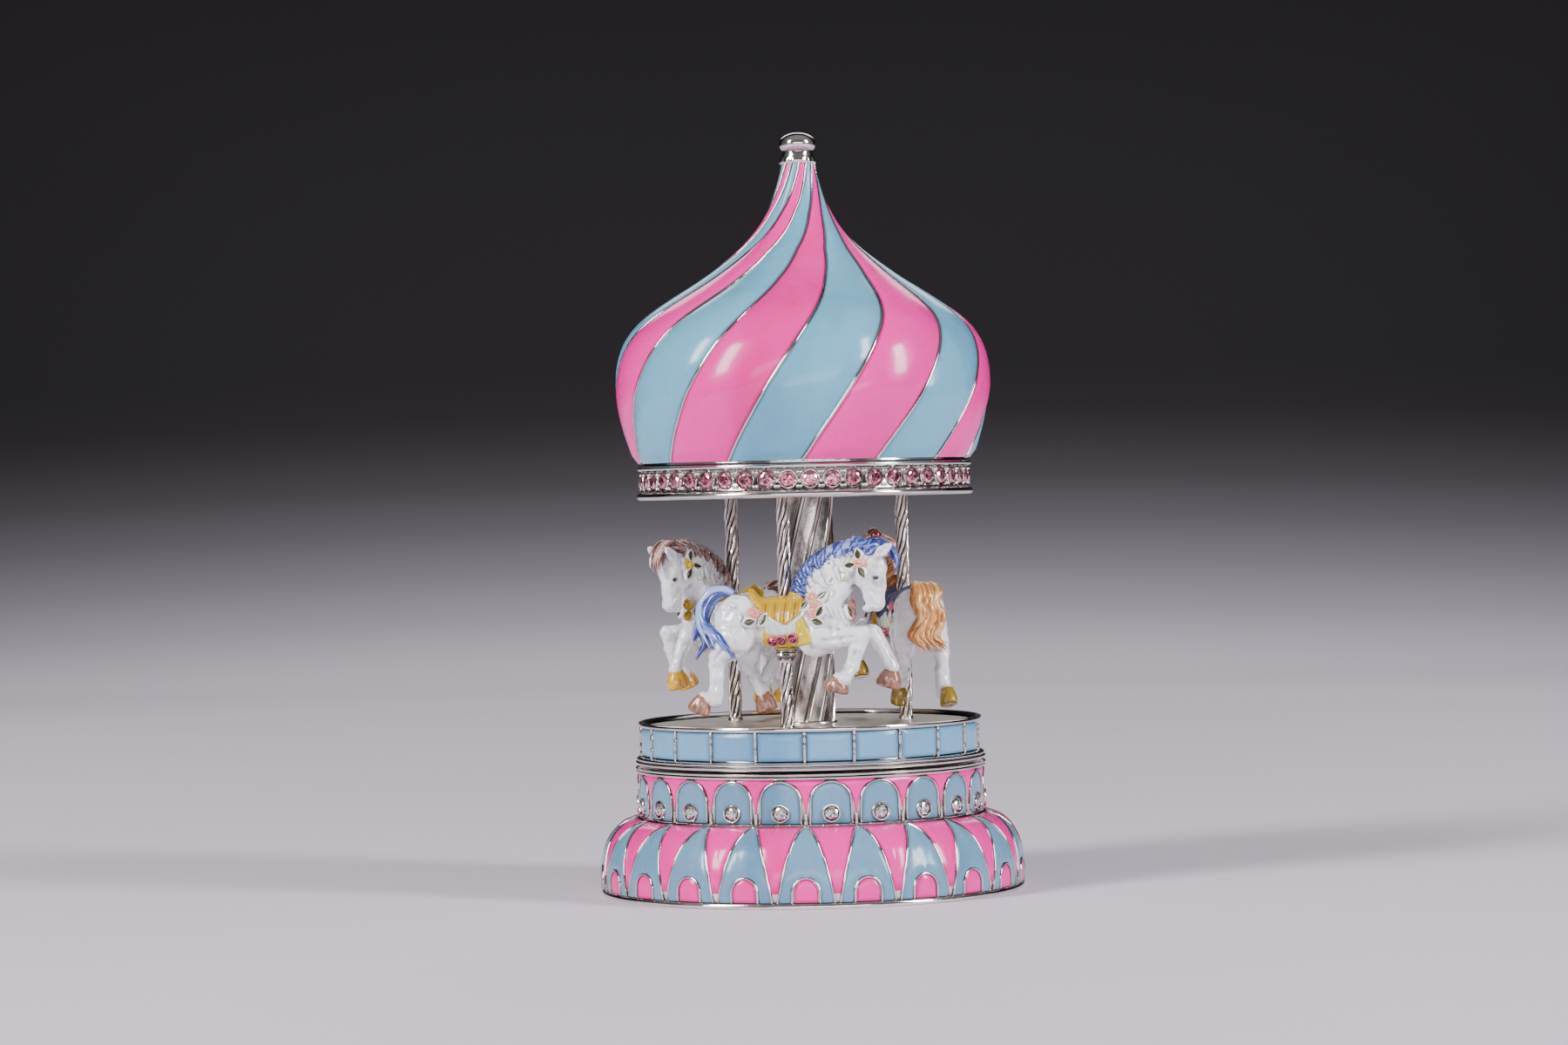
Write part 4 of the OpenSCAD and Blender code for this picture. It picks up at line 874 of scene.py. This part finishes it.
model(horse, [
    ([(15.2, 2.9, 19.0, 0.25), (14.8, 2.8, 17.0, 0.3), (15.8, 2.5, 15.0, 0.25)], 0.6, True),
    ([(12.6, 3.6, 4.9, 0.3), (11.6, 4.4, 6.6, 0.3), (12.0, 4.0, 8.2, 0.25)], 0.7, True)], BOTH)
hv, hq, hollow = horse.mesh()
ripple = np.zeros(len(hv))
for length, amount in ((4.6, 0.5), (3.1, 0.45), (2.2, 0.4), (1.5, 0.3)):
    for _ in range(6):
        way = unit(NPR.randn(3) * [1, 1, 0.6])
        ripple += amount / 2.4 * np.sin(hv @ way * (TAU / length) + NPR.uniform(0, 6.3))
hv = hv + horse.normal(hv) * (0.13 * np.clip(ripple, -1.6, 1.2))[:, None]
# painted shade in the troughs of the ripples
hollow = np.clip(hollow + 0.5 * np.clip(-ripple - 0.45, 0, 1), 0, 1)


def poly_gap(X, Z, poly):
    """Signed distance in the side view from a closed outline, negative inside."""
    p = np.array(poly, float)
    d = np.full(np.broadcast(X, Z).shape, 1e9)
    sgn = np.ones_like(d)
    for a, c in zip(p, np.roll(p, -1, 0)):
        ex, ez = c - a
        wx, wz = X - a[0], Z - a[1]
        t = np.clip((wx * ex + wz * ez) / (ex * ex + ez * ez), 0, 1)
        d = np.minimum(d, (wx - ex * t) ** 2 + (wz - ez * t) ** 2)
        c1, c2, c3 = Z >= a[1], Z < c[1], ex * wz > ez * wx
        flip = (c1 & c2 & c3) | (~c1 & ~c2 & ~c3)
        sgn = np.where(flip, -sgn, sgn)
    return sgn * np.sqrt(d)


GX = (horse.lo[0] + STEP * np.arange(horse.n[0]))[:, None]
GZ = (horse.lo[2] + STEP * np.arange(horse.n[2]))[None, :]


def shell(poly, thick, sink=0.35, soft=0.3, extra=None):
    """A skin of leather or cloth over the body, cut to an outline in the side view."""
    out = poly_gap(GX, GZ, poly)
    t = thick(GX, GZ, out) if callable(thick) else thick
    t = np.broadcast_to(t, out.shape)[:, None, :]
    a = horse.d - t
    c = np.broadcast_to(out[:, None, :], a.shape)
    h = np.clip(0.5 - 0.5 * (c - a) / soft, 0, 1)
    d = c * (1 - h) + a * h + soft * h * (1 - h)
    if extra is not None:
        h = np.clip(0.5 + 0.5 * (extra.d - d) / 0.6, 0, 1)
        d = extra.d * (1 - h) + d * h - 0.6 * h * (1 - h)
    d = np.maximum(d, -(horse.d + sink))
    return horse.mesh(d.astype(np.float32))


seat = Sculpt(*ROOM, STEP)
model(seat, [((-1.6, 0, 11.9), (4.6, 2.5, 0.95), 0.6)])
model(seat, [
    ([(-4.6, 3.4, 10.6, 0.5), (-6.2, 2.0, 12.9, 0.62), (-7.0, 0, 13.9, 0.6)], 0.6),
    ([(4.4, 3.2, 11.0, 0.45), (3.2, 1.8, 12.9, 0.5), (2.2, 0, 14.5, 0.48)], 0.5)], BOTH)
model(seat, [((-6.0, 0, 12.6), (0.9, 1.9, 1.5), 0.6, -30)])
SADDLE = [(-6.9, 14.4), (-6.2, 12.6), (-5.2, 11.3), (-3.9, 10.1), (-2.6, 9.0), (-0.5, 7.8),
          (1.1, 7.1), (2.7, 8.2), (4.2, 9.5), (4.9, 10.8), (4.6, 12.4), (3.4, 13.6), (-1, 14.4)]


def pleats(X, Z, gap):
    fan = (X - 0.9) * (1 - 0.035 * (Z - 7)) * 0.55
    line = np.abs((fan + 0.5) % 1 - 0.5)
    return bump_at(line, 0, 0.1) + 0.55 * bump_at(line, 0.27, 0.07)


def leather(X, Z, gap):
    return 0.9 - 0.28 * pleats(X, Z, gap) + 0.18 * bump_at(gap, -0.35, 0.25)


sv, sq, sh = shell(SADDLE, leather, extra=seat)
# painted shade in the pleat grooves of the saddle flap
saddle = (sv, sq, np.clip(0.5 * sh + 0.9 * pleats(sv[:, 0], sv[:, 2], 0) * (sv[:, 2] < 11.6), 0, 1))
pad = shell([(x * 1.06 + 0.3, z - 0.6) for x, z in SADDLE[3:11]] + [(3.6, 11.5), (-3, 11.5)], 0.52)
CLOTH = [(-3.6, 8.2), (-4.4, 2.7), (-0.6, 2.4), (3.0, 2.7), (6.6, 3.4), (6.1, 6.0), (4.8, 8.6), (2.5, 9.0), (-2.4, 9.0)]
PANEL = [(-3.1, 8.6), (-3.5, 5.5), (-0.6, 5.0), (3.0, 5.3), (3.3, 7.0), (2.8, 8.8), (1.1, 8.2), (-1.6, 9.0)]
cloth = shell(CLOTH, lambda X, Z, g: 0.34 + 0.16 * bump_at(X - 0.45 * Z, 1.9, 0.35) + 0.14 * bump_at(g, -0.35, 0.25))
panel = shell(PANEL, lambda X, Z, g: 0.50 + 0.12 * np.sin(X * 4.0 + 0.8 * np.sin(Z)))
COLLAR = [(7.1, 10.8), (8.9, 9.3), (12.6, 7.9), (14.0, 8.4), (14.1, 10.2), (12.8, 10.3), (9.3, 11.3), (7.9, 11.9)]
collar = shell(COLLAR, lambda X, Z, g: 0.42 + 0.26 * np.cos((X + 0.4 * Z) * 7.0) * np.clip(-g * 3, 0, 1))
strap = shell([(-14.2, 7.3), (-10.0, 6.9), (-4.6, 7.2), (-4.6, 7.7), (-10.0, 7.45), (-14.2, 7.85)], 0.2)


def as_build(m):
    return Build().add(m[0], m[1].tolist(), cav=m[2])


def lock(b, pts, w, tint, nrm, n=16, root=0.35):
    """One lock of hair: a flattened rod that swells, tapers and follows a curve."""
    p = smooth_path(pts, n)
    t = np.linspace(0, 1, n)
    prof = (root + (1 - root) * np.sin(np.pi * np.clip(t * 1.15, 0, 1) ** 0.8)) * np.clip((1.02 - t) * 4, 0.05, 1)
    a = circle(8)
    N = np.broadcast_to(np.asarray(nrm, float), (n, 3)) if np.ndim(nrm) == 1 else nrm(p)
    # painted highlight along the crown of the lock, painted shade along its underside
    tube(b, p, N, w * prof, w * 0.62 * prof, across=np.clip(np.sin(a), 0, 1) ** 4, tint=tint, cav=np.clip(0.75 - np.sin(a), 0, 1) * 0.8)


def skin_lock(b, pts, w, tint, rise=0.15, **kw):
    """A lock that lies on the horse's skin."""
    p = smooth_path(pts, 12)
    out = []
    for q in p:
        for _ in range(4):
            q = q - horse.normal(q) * (horse.sample(horse.d, q) - rise)
        out.append(q)
    lock(b, out, w, tint, horse.normal, **kw)


crest = smooth_path([(2.2, 13.6), (2.9, 16.4), (4.9, 19.4), (8.0, 21.7), (11.6, 23.2), (15.2, 23.9), (18.4, 23.8), (20.8, 22.6)], 200)
ct = unit(np.gradient(crest, axis=0))
cn = np.stack([-ct[:, 1], ct[:, 0]], -1)


def at_crest(u, depth, y, back=0.0):
    i = min(199, max(0, int(u * 199)))
    q = crest[i] - cn[i] * depth - ct[i] * back
    return np.array([q[0], y, q[1]])


def outward(p):
    """The way the crown of a mane lock faces: out to its side, and a little up."""
    return unit(p * [0, 1, 0] + [0, 0, 0.5])


mane, fringe = Build(), Build()
R1 = random.Random(4)
for s in BOTH:
    for row, (deep, num) in enumerate(((2.9, 15), (2.0, 14), (1.1, 12))):
        for k in range(num):
            u = (k + 0.3 + 0.4 * R1.random()) / num * 0.97
            bk = 0.6 + 1.1 * R1.random()
            cl = R1.uniform(-0.9, 0.9)
            pts = [at_crest(u, -0.2 - 0.1 * row, 0.1 * s, -0.4), at_crest(u, 0.1, s * 1.3, 0.1 + cl * 0.5),
                   at_crest(u, 0.35 * deep + 0.2, s * 2.2, bk * 0.5 + cl * 0.3),
                   at_crest(u, 0.75 * deep + 0.2, s * 2.6, bk + cl * 0.6), at_crest(u, deep + 0.35 * R1.random(), s * (2.7 + 0.2 * R1.random()), bk * 0.6 - cl)]
            lock(mane, pts, R1.uniform(0.66, 0.95), R1.choice([0.0, 0.05, 0.12, 0.25, 0.4, 0.8]), outward)
    for k in range(26):
        u = (k + 0.5 * R1.random()) / 26 * 0.86 + 0.02
        bk = R1.uniform(-0.3, 1.6)
        cl = R1.uniform(-0.8, 0.8)
        d0 = 2.4 + 1.6 * (k % 2)
        pts = [at_crest(u, d0, s * 2.4, 0.2), at_crest(u, d0 + 1.0, s * 3, bk * 0.6 + cl), at_crest(u, d0 + 2.0, s * 3.2, bk - cl * 0.6),
               at_crest(u, d0 + 2.9 + R1.random(), s * 3.2, bk * 0.4 + cl)]
        skin_lock(fringe, pts, R1.uniform(0.5, 0.74), 0.5, 0.1)
for k in range(16):
    yy = R1.uniform(-1.6, 1.6)
    w = R1.uniform(0.5, 0.75)
    if k % 2:
        pts = [(17.4, yy * 0.4, 24.0), (19.6, yy, 24.2), (21.6, yy, 23.2), (22.9, yy * 0.9, 21.5),
               (23.5 + R1.uniform(-0.5, 0.3), yy * 0.7, 19.4), (22.9 + R1.uniform(-0.6, 0.5), yy * 0.6, 17.2 + R1.uniform(0, 1.4))]
    else:
        pts = [(18.0, yy * 0.4, 23.9), (20.2, yy, 23.6), (21.6, yy, 22.4), (22.3, yy, 20.6), (22.1 + R1.uniform(-0.3, 0.5), yy, 19.0 + R1.random())]
    lock(mane, pts, w, R1.choice([0.0, 0.12, 0.3, 0.5, 0.85]), np.array([1.0, 0, 0.4]), n=20)
# a curl standing up behind the poll
for s in BOTH:
    turn = np.linspace(0, 5.2, 9)
    q = 0.95 - 0.09 * turn
    curl = np.stack([15.4 + q * np.cos(2.4 + turn), 0 * turn + s * 0.75, 24.2 + q * np.sin(2.4 + turn)], -1)
    lock(mane, curl, 0.42, 0.62, np.array([0, float(s), 0.2]), n=30, root=0.7)

tail = Build()
tips = {
    "a": [(-17.7, -0.6, 7.4), (-18.5, -0.6, 5.6), (-18.9, -0.4, 3.9)],
    "b": [(-16.9, -1.8, 7.2), (-15.4, -3.6, 5.0), (-13.9, -5.2, 2.6)],
    "c": [(-16.2, -2.2, 7.6), (-13.5, -4.6, 5.6), (-11.4, -5.6, 3.4), (-9.4, -5.5, 0.6)],
    "d": [(-17.6, 0.2, 6.4), (-16.8, 0.3, 3.4), (-17.8, 0.2, 1.9), (-18.9, 0.0, 0.4)],
    "e": [(-17.2, 0.8, 6.6), (-15.9, 1.4, 4.2), (-15.6, 1.6, 2.2)],
}
for k in range(30):
    end = "aabbbccccdde"[k % 12]
    j = R1.uniform(-1, 1)
    yy = R1.uniform(-2.2, 2.0)
    head = [(-10.6, yy * 0.35, 13.4 + 0.3 * j), (-12.6, yy * 0.6, 14.1 + 0.5 * j),
            (-14.9 - 0.5 * j, yy * 0.9, 13.3 + 0.8 * j), (-16.6 - 0.9 * j, yy, 10.7 + 0.3 * j)]
    body = [(x - 0.5 * j + R1.uniform(-0.35, 0.35) * 0.6, y + yy * 0.35, z + R1.uniform(-0.35, 0.35)) for x, y, z in tips[end]]
    tint = max(0.0, 1.3 * j * j * abs(j) - 0.05) + R1.uniform(-0.08, 0.12)
    lock(tail, head + body, R1.uniform(0.8, 1.15), tint, np.array([-0.5, -1.0, 0.35]), n=30, root=0.6)
# the second horse carries a full, blunt tail
tail_full = Build()
for k in range(46):
    y = 3.1 * math.sin(k * 2.4) * (1 - 0.25 * R1.random())
    j, w1, w2 = R1.uniform(-0.6, 0.9), R1.uniform(-0.5, 0.5), R1.uniform(0, 6)
    end = R1.uniform(0.2, 2.6)
    sway = lambda z: y * (1.08 - 0.03 * z) + 0.4 + 0.8 * math.sin(z * 0.62 + 0.4 * w1) + 0.3 * math.sin(w2 + z * 0.8)
    body = [(-15.6 - j + 0.4 * math.sin(w2 + z), sway(z), z) for z in (10.6, 8.9, 7.2, 5.5, 3.8)]
    curl = [(-15.8 - j, body[-1][1] - 0.9, end * 0.5 + 1.8), (-16.2 - j, body[-1][1] - 2.0, end)]
    lock(tail_full, [(-10.8, y * 0.3, 13.2), (-12.8, y * 0.7, 14.2 + 0.3 * j), (-15.0 - 0.8 * j, y * 0.95, 12.9)] + body + curl,
         R1.uniform(0.7, 1.0), 0.3 + 0.55 * R1.random() ** 2, np.array([-1.0, -0.3, 0.35]), n=34, root=0.6)


def hoof(b, top, sole, r0, r1, front):
    """A bell-shaped hoof with a cleft, flared to the sole."""
    top, sole = np.array(top, float), np.array(sole, float)
    ax = unit(sole - top)
    L = np.linalg.norm(sole - top)
    u = unit(np.array(front, float) - ax * (np.array(front, float) @ ax))
    w = np.cross(ax, u)
    rings = [(0.25, -0.28), (0.75, -0.25), (1.0, -0.02), (1.04, 0.12), (0.98, 0.2)]
    rings = [(r0 * q, h) for q, h in rings]
    rings += [(r0 + (r1 - r0) * math.sin(t * 1.9) ** 0.9, 0.2 + (L - 0.45) * t) for t in np.linspace(0.1, 1, 9)]
    rings += [(r1 * 0.9, L - 0.1), (r1 * 0.72, L), (r1 * 0.3, L - 0.12)]
    th = circle(40)
    v, cav = [], []
    for q, h in rings:
        m = min(1, max(0, h / L * 1.4))
        cleft = sum(np.exp(-(((th - c + np.pi) % TAU - np.pi) / 0.2) ** 2) for c in (1.2, 1.9, TAU - 1.2, TAU - 1.9))
        rr = q * (1 - 0.14 * m * cleft + 0.06 * m * np.cos(2 * th))
        v.append(top + ax * h + np.outer(rr * np.cos(th), u) * 1.06 + np.outer(rr * np.sin(th), w) * 0.92)
        # painted shade in the clefts of the hoof
        cav.append(m * cleft * 0.7)
    b.add(np.concatenate(v), capped(len(rings), len(th)), cav=np.concatenate(cav))


hooves = Build()
for top, sole, narrow, wide, way in (
        ((11.6, -3.3, -3.6), (10.7, -3.3, -6.5), 1.35, 2.35, -1), ((21.2, 3.3, -2.6), (20.2, 3.3, -6.0), 1.5, 2.35, 1),
        ((-16.6, -3.3, -7.2), (-17.9, -3.3, -10.5), 1.35, 2.1, -1), ((-5.8, 3.3, -6.8), (-4.8, 3.3, -10.6), 1.4, 2.0, 1)):
    hoof(hooves, top, sole, narrow, wide, (way, 0, 0))
pasterns = Sculpt((-19, -6, -12), (24, 6, 0), STEP)
pasterns.limb([(12.5, -3.3, -4.0, 1.35), (11.5, -3.3, -3.7, 1.25)], 0.4)
pasterns.limb([(-14.3, -3.3, -7.9, 1.35), (-16.6, -3.3, -7.2, 1.12)], 0.4)


def rose(b, P, N, r, seed):
    """A small bloom: lobed petals round a spiral heart, as a crisp relief."""
    rr = random.Random(seed)
    S, U = side_up(N)
    n, m = 30, 9
    th = circle(n)
    ph = rr.uniform(0, 6)
    v, cav = [], []
    for k in range(m + 1):
        q = k / m
        lobe = 1 + 0.13 * np.abs(np.cos(2.5 * th + ph)) * q
        wave = np.sin(q * 11 - th + ph) * 0.16 * (1 - 0.3 * q)
        h = r * (0.62 * (1 - q**2.2) + wave * (q > 0.08)) - (0.25 * r if k == m else 0)
        v.append(P + np.outer(q * r * lobe * np.cos(th), S) + np.outer(q * r * lobe * np.sin(th), U) + np.outer(h + 0 * th, N))
        # painted shade in the troughs of the petal spiral
        cav.append(np.clip(-wave * 5, 0, 1) + 0 * th)
    b.add(np.concatenate(v), grid(m + 1, n, False, True), cav=np.concatenate(cav))


def leaf(b, P, N, ang, L, w):
    S, U = side_up(N)
    a = math.radians(ang)
    D, E = S * math.cos(a) + U * math.sin(a), -S * math.sin(a) + U * math.cos(a)
    n, m = 11, 7
    v, cav = [], []
    for i in range(n):
        t = i / (n - 1)
        half = w * math.sin(math.pi * t**0.85) ** 0.8 + 0.02
        for j in range(m):
            q = j / (m - 1) * 2 - 1
            h = 0.34 * w * (1 - q * q) + 0.14 * abs(q) ** 0.5 - (0.3 if abs(q) == 1 else 0) + 0.1
            v.append(P + D * (t - 0.5) * L + E * q * half + N * h)
            # painted shade along the midrib groove
            cav.append(max(0, 1 - abs(q) * 3.5) * 0.8)
    b.add(v, grid(n, m), cav=cav)


def skin_path(s, pts, off=0.0):
    """Points and normals off above the skin on side s, from [x, z] pairs."""
    return zip(*(horse.side(x, z, s, off) for x, z in pts))


# [x, z, radius, seed] and [x, z, angle, length]
ROSES = ((16.1, 19.3, 1.5, 1), (6.4, 12.3, 1.45, 2), (7.5, 11.0, 1.15, 5), (6.9, 9.3, 1.35, 3),
         (-5.6, 9.6, 1.35, 4), (-4.4, 9.9, 1.05, 8), (13.9, 10.9, 1.15, 6), (14.0, 8.6, 1.0, 7))
LEAVES = ((15.9, 21.2, 100, 1.7), (14.2, 18.9, 10, 1.7), (16.7, 17.5, -60, 2.1), (5.2, 11.2, 60, 1.9), (8.7, 13.0, 40, 2.1),
          (8.3, 9.9, 60, 2.0), (7.8, 7.7, -20, 2.1), (-6.3, 7.9, 10, 2.0), (-3.6, 8.3, 60, 2.2), (13.6, 9.6, 100, 2.1))
SCROLLS = (
    ([(9.5, 15.2), (9.4, 16.6), (10.8, 16.9), (11.8, 16.2), (12.5, 15.9), (13.1, 16.6), (13.9, 17.2), (13.8, 16.2), (13.0, 16.1)], 40, 0.2),
    ([(10.0, 14.9), (9.8, 13.6), (10.6, 12.7), (11.2, 13.6), (10.6, 14.2)], 26, 0.18))
# [x, z, radius, turn, start] of the curls on the rump
CURLS = ((-10.6, 10.4, 1.25, 5.4, 0.4), (-8.6, 8.6, 0.9, -5.0, 2.2), (-12.6, 8.7, 1.0, 5.0, 3.6))
roses, leaves, leaf_rims, gems, gem_rims, scroll, eyes, relief, bead = (Build() for _ in range(9))
for s in BOTH:
    for x, z, r, seed in ROSES:
        rose(roses, *horse.side(x, z, s, 0.35), r, seed)
    for x, z, a, L in LEAVES:
        P, N = horse.side(x, z, s, 0.62)
        leaf(leaves, P, N, -a * s, L * 1.15, 0.82)
        leaf(leaf_rims, P - N * 0.25, N, -a * s, L * 1.15 + 0.8, 1.2)
    for x, z in ((-1.9, 3.95), (0.0, 4.15), (2.5, 4.5)):
        P, N = horse.side(x, z, s, 0.5)
        S, U = side_up(N)
        put = lambda q: P + S * q[0] + U * q[1] + N * q[2]
        disc(gem_rims, put, [(1.18, -0.3), (1.18, 0.25), (1.08, 0.42), (0.92, 0.42), (0.86, 0.2)], 22)
        stone(gems, raised(put, 0, 0, 0.2), 0.92, 0.42)
    for path, n, width in SCROLLS:
        tube(scroll, *skin_path(s, smooth_path(path, n), 0.02), width, 0.16, 6)
    disc(eyes, lambda q: np.array([19.4 + q[0], s * (1.62 + q[2]), 16.35 + q[1]]),
         [(0.5 * math.cos(t), 0.45 * math.sin(t)) for t in np.linspace(0, 1.4, 5)], 16)
    for x, z, r, turn, start in CURLS:
        t = np.linspace(0, 1, 30)
        a, q = start + turn * t, r * (1 - 0.75 * t)
        tube(relief, *skin_path(s, zip(x + q * np.cos(a), z + q * np.sin(a))), 0.24, 0.2)
disc(bead, lambda q: np.array([19.1 + q[0], q[1], 24.85 + q[2]]), [(1.12 * math.cos(t), 1.12 * math.sin(t)) for t in np.linspace(-1.3, 1.45, 12)])

body = as_build((hv, hq, hollow)).join(as_build(pasterns.mesh()))
saddle, pad, cloth, panel, collar, strap = map(as_build, (saddle, pad, cloth, panel, collar, strap))
# [hair, rose, hoof, tack, cloth] looks, the slots of hair, tack and hoof, the tail, and whether a bead is worn
KIT = {
    "horse_a": (("hair_a", "rose_a", "hoof_a", "saddle", "cloth_y"), ("hair_blue", "tack_yellow", "hoof_copper"), tail, True),
    "horse_b": (("hair_b", "rose_b", "hoof_b", "cloth_b", "saddle"), ("hair_orange", "tack_blue", "hoof_gold"), tail_full, True),
    "horse_c": (("hair_c", "rose_c", "hoof_c", "saddle", "cloth_y"), ("hair_brown", "tack_yellow", "hoof_gold"), tail, False),
}
for k, (node, (looks, slots, own_tail, beaded)) in enumerate(KIT.items()):
    hair_look, rose_look, hoof_look, tack_look, cloth_look = looks
    hair_slot, tack_slot, hoof_slot = slots
    # [build, name, look, slot, what it replaces after the horse's own name, other settings]
    rows = [
        (body, "body", "pearl", None, ""),
        (mane, "mane", hair_look, hair_slot, "_hair"),
        (own_tail, "tail", hair_look, hair_slot, None),
        (fringe, "neck_locks", "pearl", None, None),
        (hooves, "hoof_set", hoof_look, hoof_slot, "_hooves", dict(angle=50)),
        (saddle, "saddle", tack_look, tack_slot, "_tack"),
        (pad, "saddle_pad", "pearl", None, None),
        (cloth, "cloth", cloth_look, tack_slot, None),
        (panel, "cloth_panel", "panel_w", None, None),
        (collar, "collar", "pearl", None, None),
        (strap, "strap", "pearl", None, None),
        (roses, "roses", rose_look, None, None, dict(angle=60)),
        (leaves, "leaves", "leaf", None, None),
        (leaf_rims, "leaf_edges", "pearl", None, None),
        (relief, "relief", "pearl", None, None),
        (scroll, "scroll", "scroll", None, None),
        (eyes, "eyes", "eye", "hair_brown", None),
        (gem_rims, "stone_rims", "rose_b", tack_slot, None, dict(angle=40)),
        (gems, "stones", "ruby", "crystal_rose", None, dict(smooth=False)),
    ]
    if beaded:
        rows.append((bead, "bead", "bead", "crystal_rose", None))
    for build, name, look, slot, part, *more in rows:
        build.piece(f"{node}_{name}", look, [] if part is None else [node + part], slot=slot or "pearl_enamel", matrix=at_pole(k), **(more[0] if more else {}))

# ---------------------------------------------------------------- inner parts keep their CAD shape
KEEP = {
    "deck": "canopy_ceiling",
    "steel": "top_plate bottom_plate bottom_screws bedplate movement_screws comb shaft_brackets "
             "mainspring spindle hub_nut tie_rod cylinder_shaft worm winding_arbor",
    "brass": "spindle_bush governor_frame spring_barrel barrel_cover pin_cylinder governor_wheel air_fan winding_key",
}
for look, nodes in KEEP.items():
    for node in nodes.split():
        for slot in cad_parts[node].material_slots:
            slot.material = M[look]

# ---------------------------------------------------------------- set, light and camera
AXIS_X, EYE_BACK, EYE_HEIGHT, AIM_HEIGHT, ROLL = -0.00446, 0.87, 0.083, 0.0763, -1.25
# the table is painted pale near the part and painted darker behind it: a painted fall-off of the light
BACKDROP = [(0.0, 0.018), (0.1, 0.023), (0.16, 0.037), (0.26, 0.075), (0.36, 0.15), (0.46, 0.27),
            (0.56, 0.46), (0.66, 0.77), (0.75, 0.97), (0.88, 0.93), (1.0, 0.87)]
table = Mat("pale_table", Roughness=0.6, Specular_IOR_Level=0.1)
x, y, z = table.node("SeparateXYZ", {0: table.node("TexCoord").outputs["Object"]}).outputs
reach = table.math("ADD", y, EYE_BACK)
slope = table.math("DIVIDE", table.math("SUBTRACT", EYE_HEIGHT, z), reach)
aside = table.math("DIVIDE", x, reach)
bent = table.math("MULTIPLY_ADD", table.math("MULTIPLY", aside, aside), -0.12, slope)
near = table.mix(table.span(table.noise(6, 4), 0.0, 1.0, 0.3, 0.7), (0.87, 0.78, 0.92), (0.90, 0.81, 0.95))
painted_falloff = table.ramp(table.span(bent, 0.0, 1.0, -0.03, 0.075), [(k, (q, q, q)) for k, q in BACKDROP])
WIDE, BACK, BEND, HIGH = 4.0, 1.6, 0.7, 3.2
sweep = [(-2.6, 0.0)] + [(y, 0.0) for y in np.linspace(-1.4, BACK - BEND, 6)]
sweep += [(BACK - BEND + BEND * math.sin(a), BEND - BEND * math.cos(a)) for a in np.linspace(0.1, math.pi / 2, 12)] + [(BACK, HIGH)]
me = bpy.data.meshes.new("table")
me.from_pydata([(x, y, z) for y, z in sweep for x in (-WIDE, 0, WIDE)], [], [q[::-1] for q in grid(len(sweep), 3)])
me.polygons.foreach_set("use_smooth", [True] * len(me.polygons))
me.materials.append(table.done(table.mix(painted_falloff, (0.004, 0.0036, 0.004), near), None, table.bump(table.noise(900, 3), 0.00004, 0.4)))
floor_obj = bpy.data.objects.new("table", me)
bpy.context.scene.collection.objects.link(floor_obj)

world = bpy.data.worlds.new("studio")
bpy.context.scene.world = world
sky = Nodes(world)
height = sky.node("SeparateXYZ", {0: sky.node("TexCoord").outputs["Generated"]}).outputs["Z"]
glow = [(0.44, (0.52, 0.50, 0.52)), (0.52, (0.25, 0.25, 0.25)), (0.62, (0.09, 0.09, 0.09)), (0.8, (0.19, 0.19, 0.19)), (1.0, (0.34, 0.34, 0.345))]
sky.feed(sky.t.nodes["Background"], {"Color": sky.ramp(sky.span(height, 0.0, 1.0, -1.0), glow), "Strength": 0.75})

for name, pos, aim, w, h, power, colour in (
        ("left_bank", (-1.05, -0.75, 0.75), (0, 0, 0.08), 0.3, 0.8, 28, (1.0, 0.985, 0.965)),
        ("right_bank", (1.1, -0.6, 0.6), (0, 0, 0.08), 0.24, 0.7, 21, (0.98, 0.99, 1.0)),
        ("front_low", (0.15, -2.2, 0.3), (0, 0, 0.07), 2.2, 0.35, 12, (1, 1, 1)),
        ("back_fill", (0.0, 1.3, 0.8), (0, 0, 0.05), 1.0, 0.4, 3.3, (1, 1, 1))):
    d = bpy.data.lights.new(name, "AREA")
    d.shape, d.size, d.size_y, d.energy, d.color = "RECTANGLE", w, h, power, colour
    o = bpy.data.objects.new(name, d)
    o.location = pos
    o.rotation_euler = (Vector(aim) - Vector(pos)).to_track_quat("-Z", "Y").to_euler()
    bpy.context.scene.collection.objects.link(o)

cam = bpy.data.cameras.new("camera")
cam.sensor_width, cam.lens = 36, 96.1
co = bpy.data.objects.new("camera", cam)
bpy.context.scene.collection.objects.link(co)
eye, aim = Vector((AXIS_X, -EYE_BACK, EYE_HEIGHT)), Vector((AXIS_X, 0.0, AIM_HEIGHT))
co.location = eye
co.rotation_euler = ((aim - eye).to_track_quat("-Z", "Y").to_matrix() @ Matrix.Rotation(math.radians(ROLL), 3, "Z")).to_euler()
bpy.context.scene.camera = co
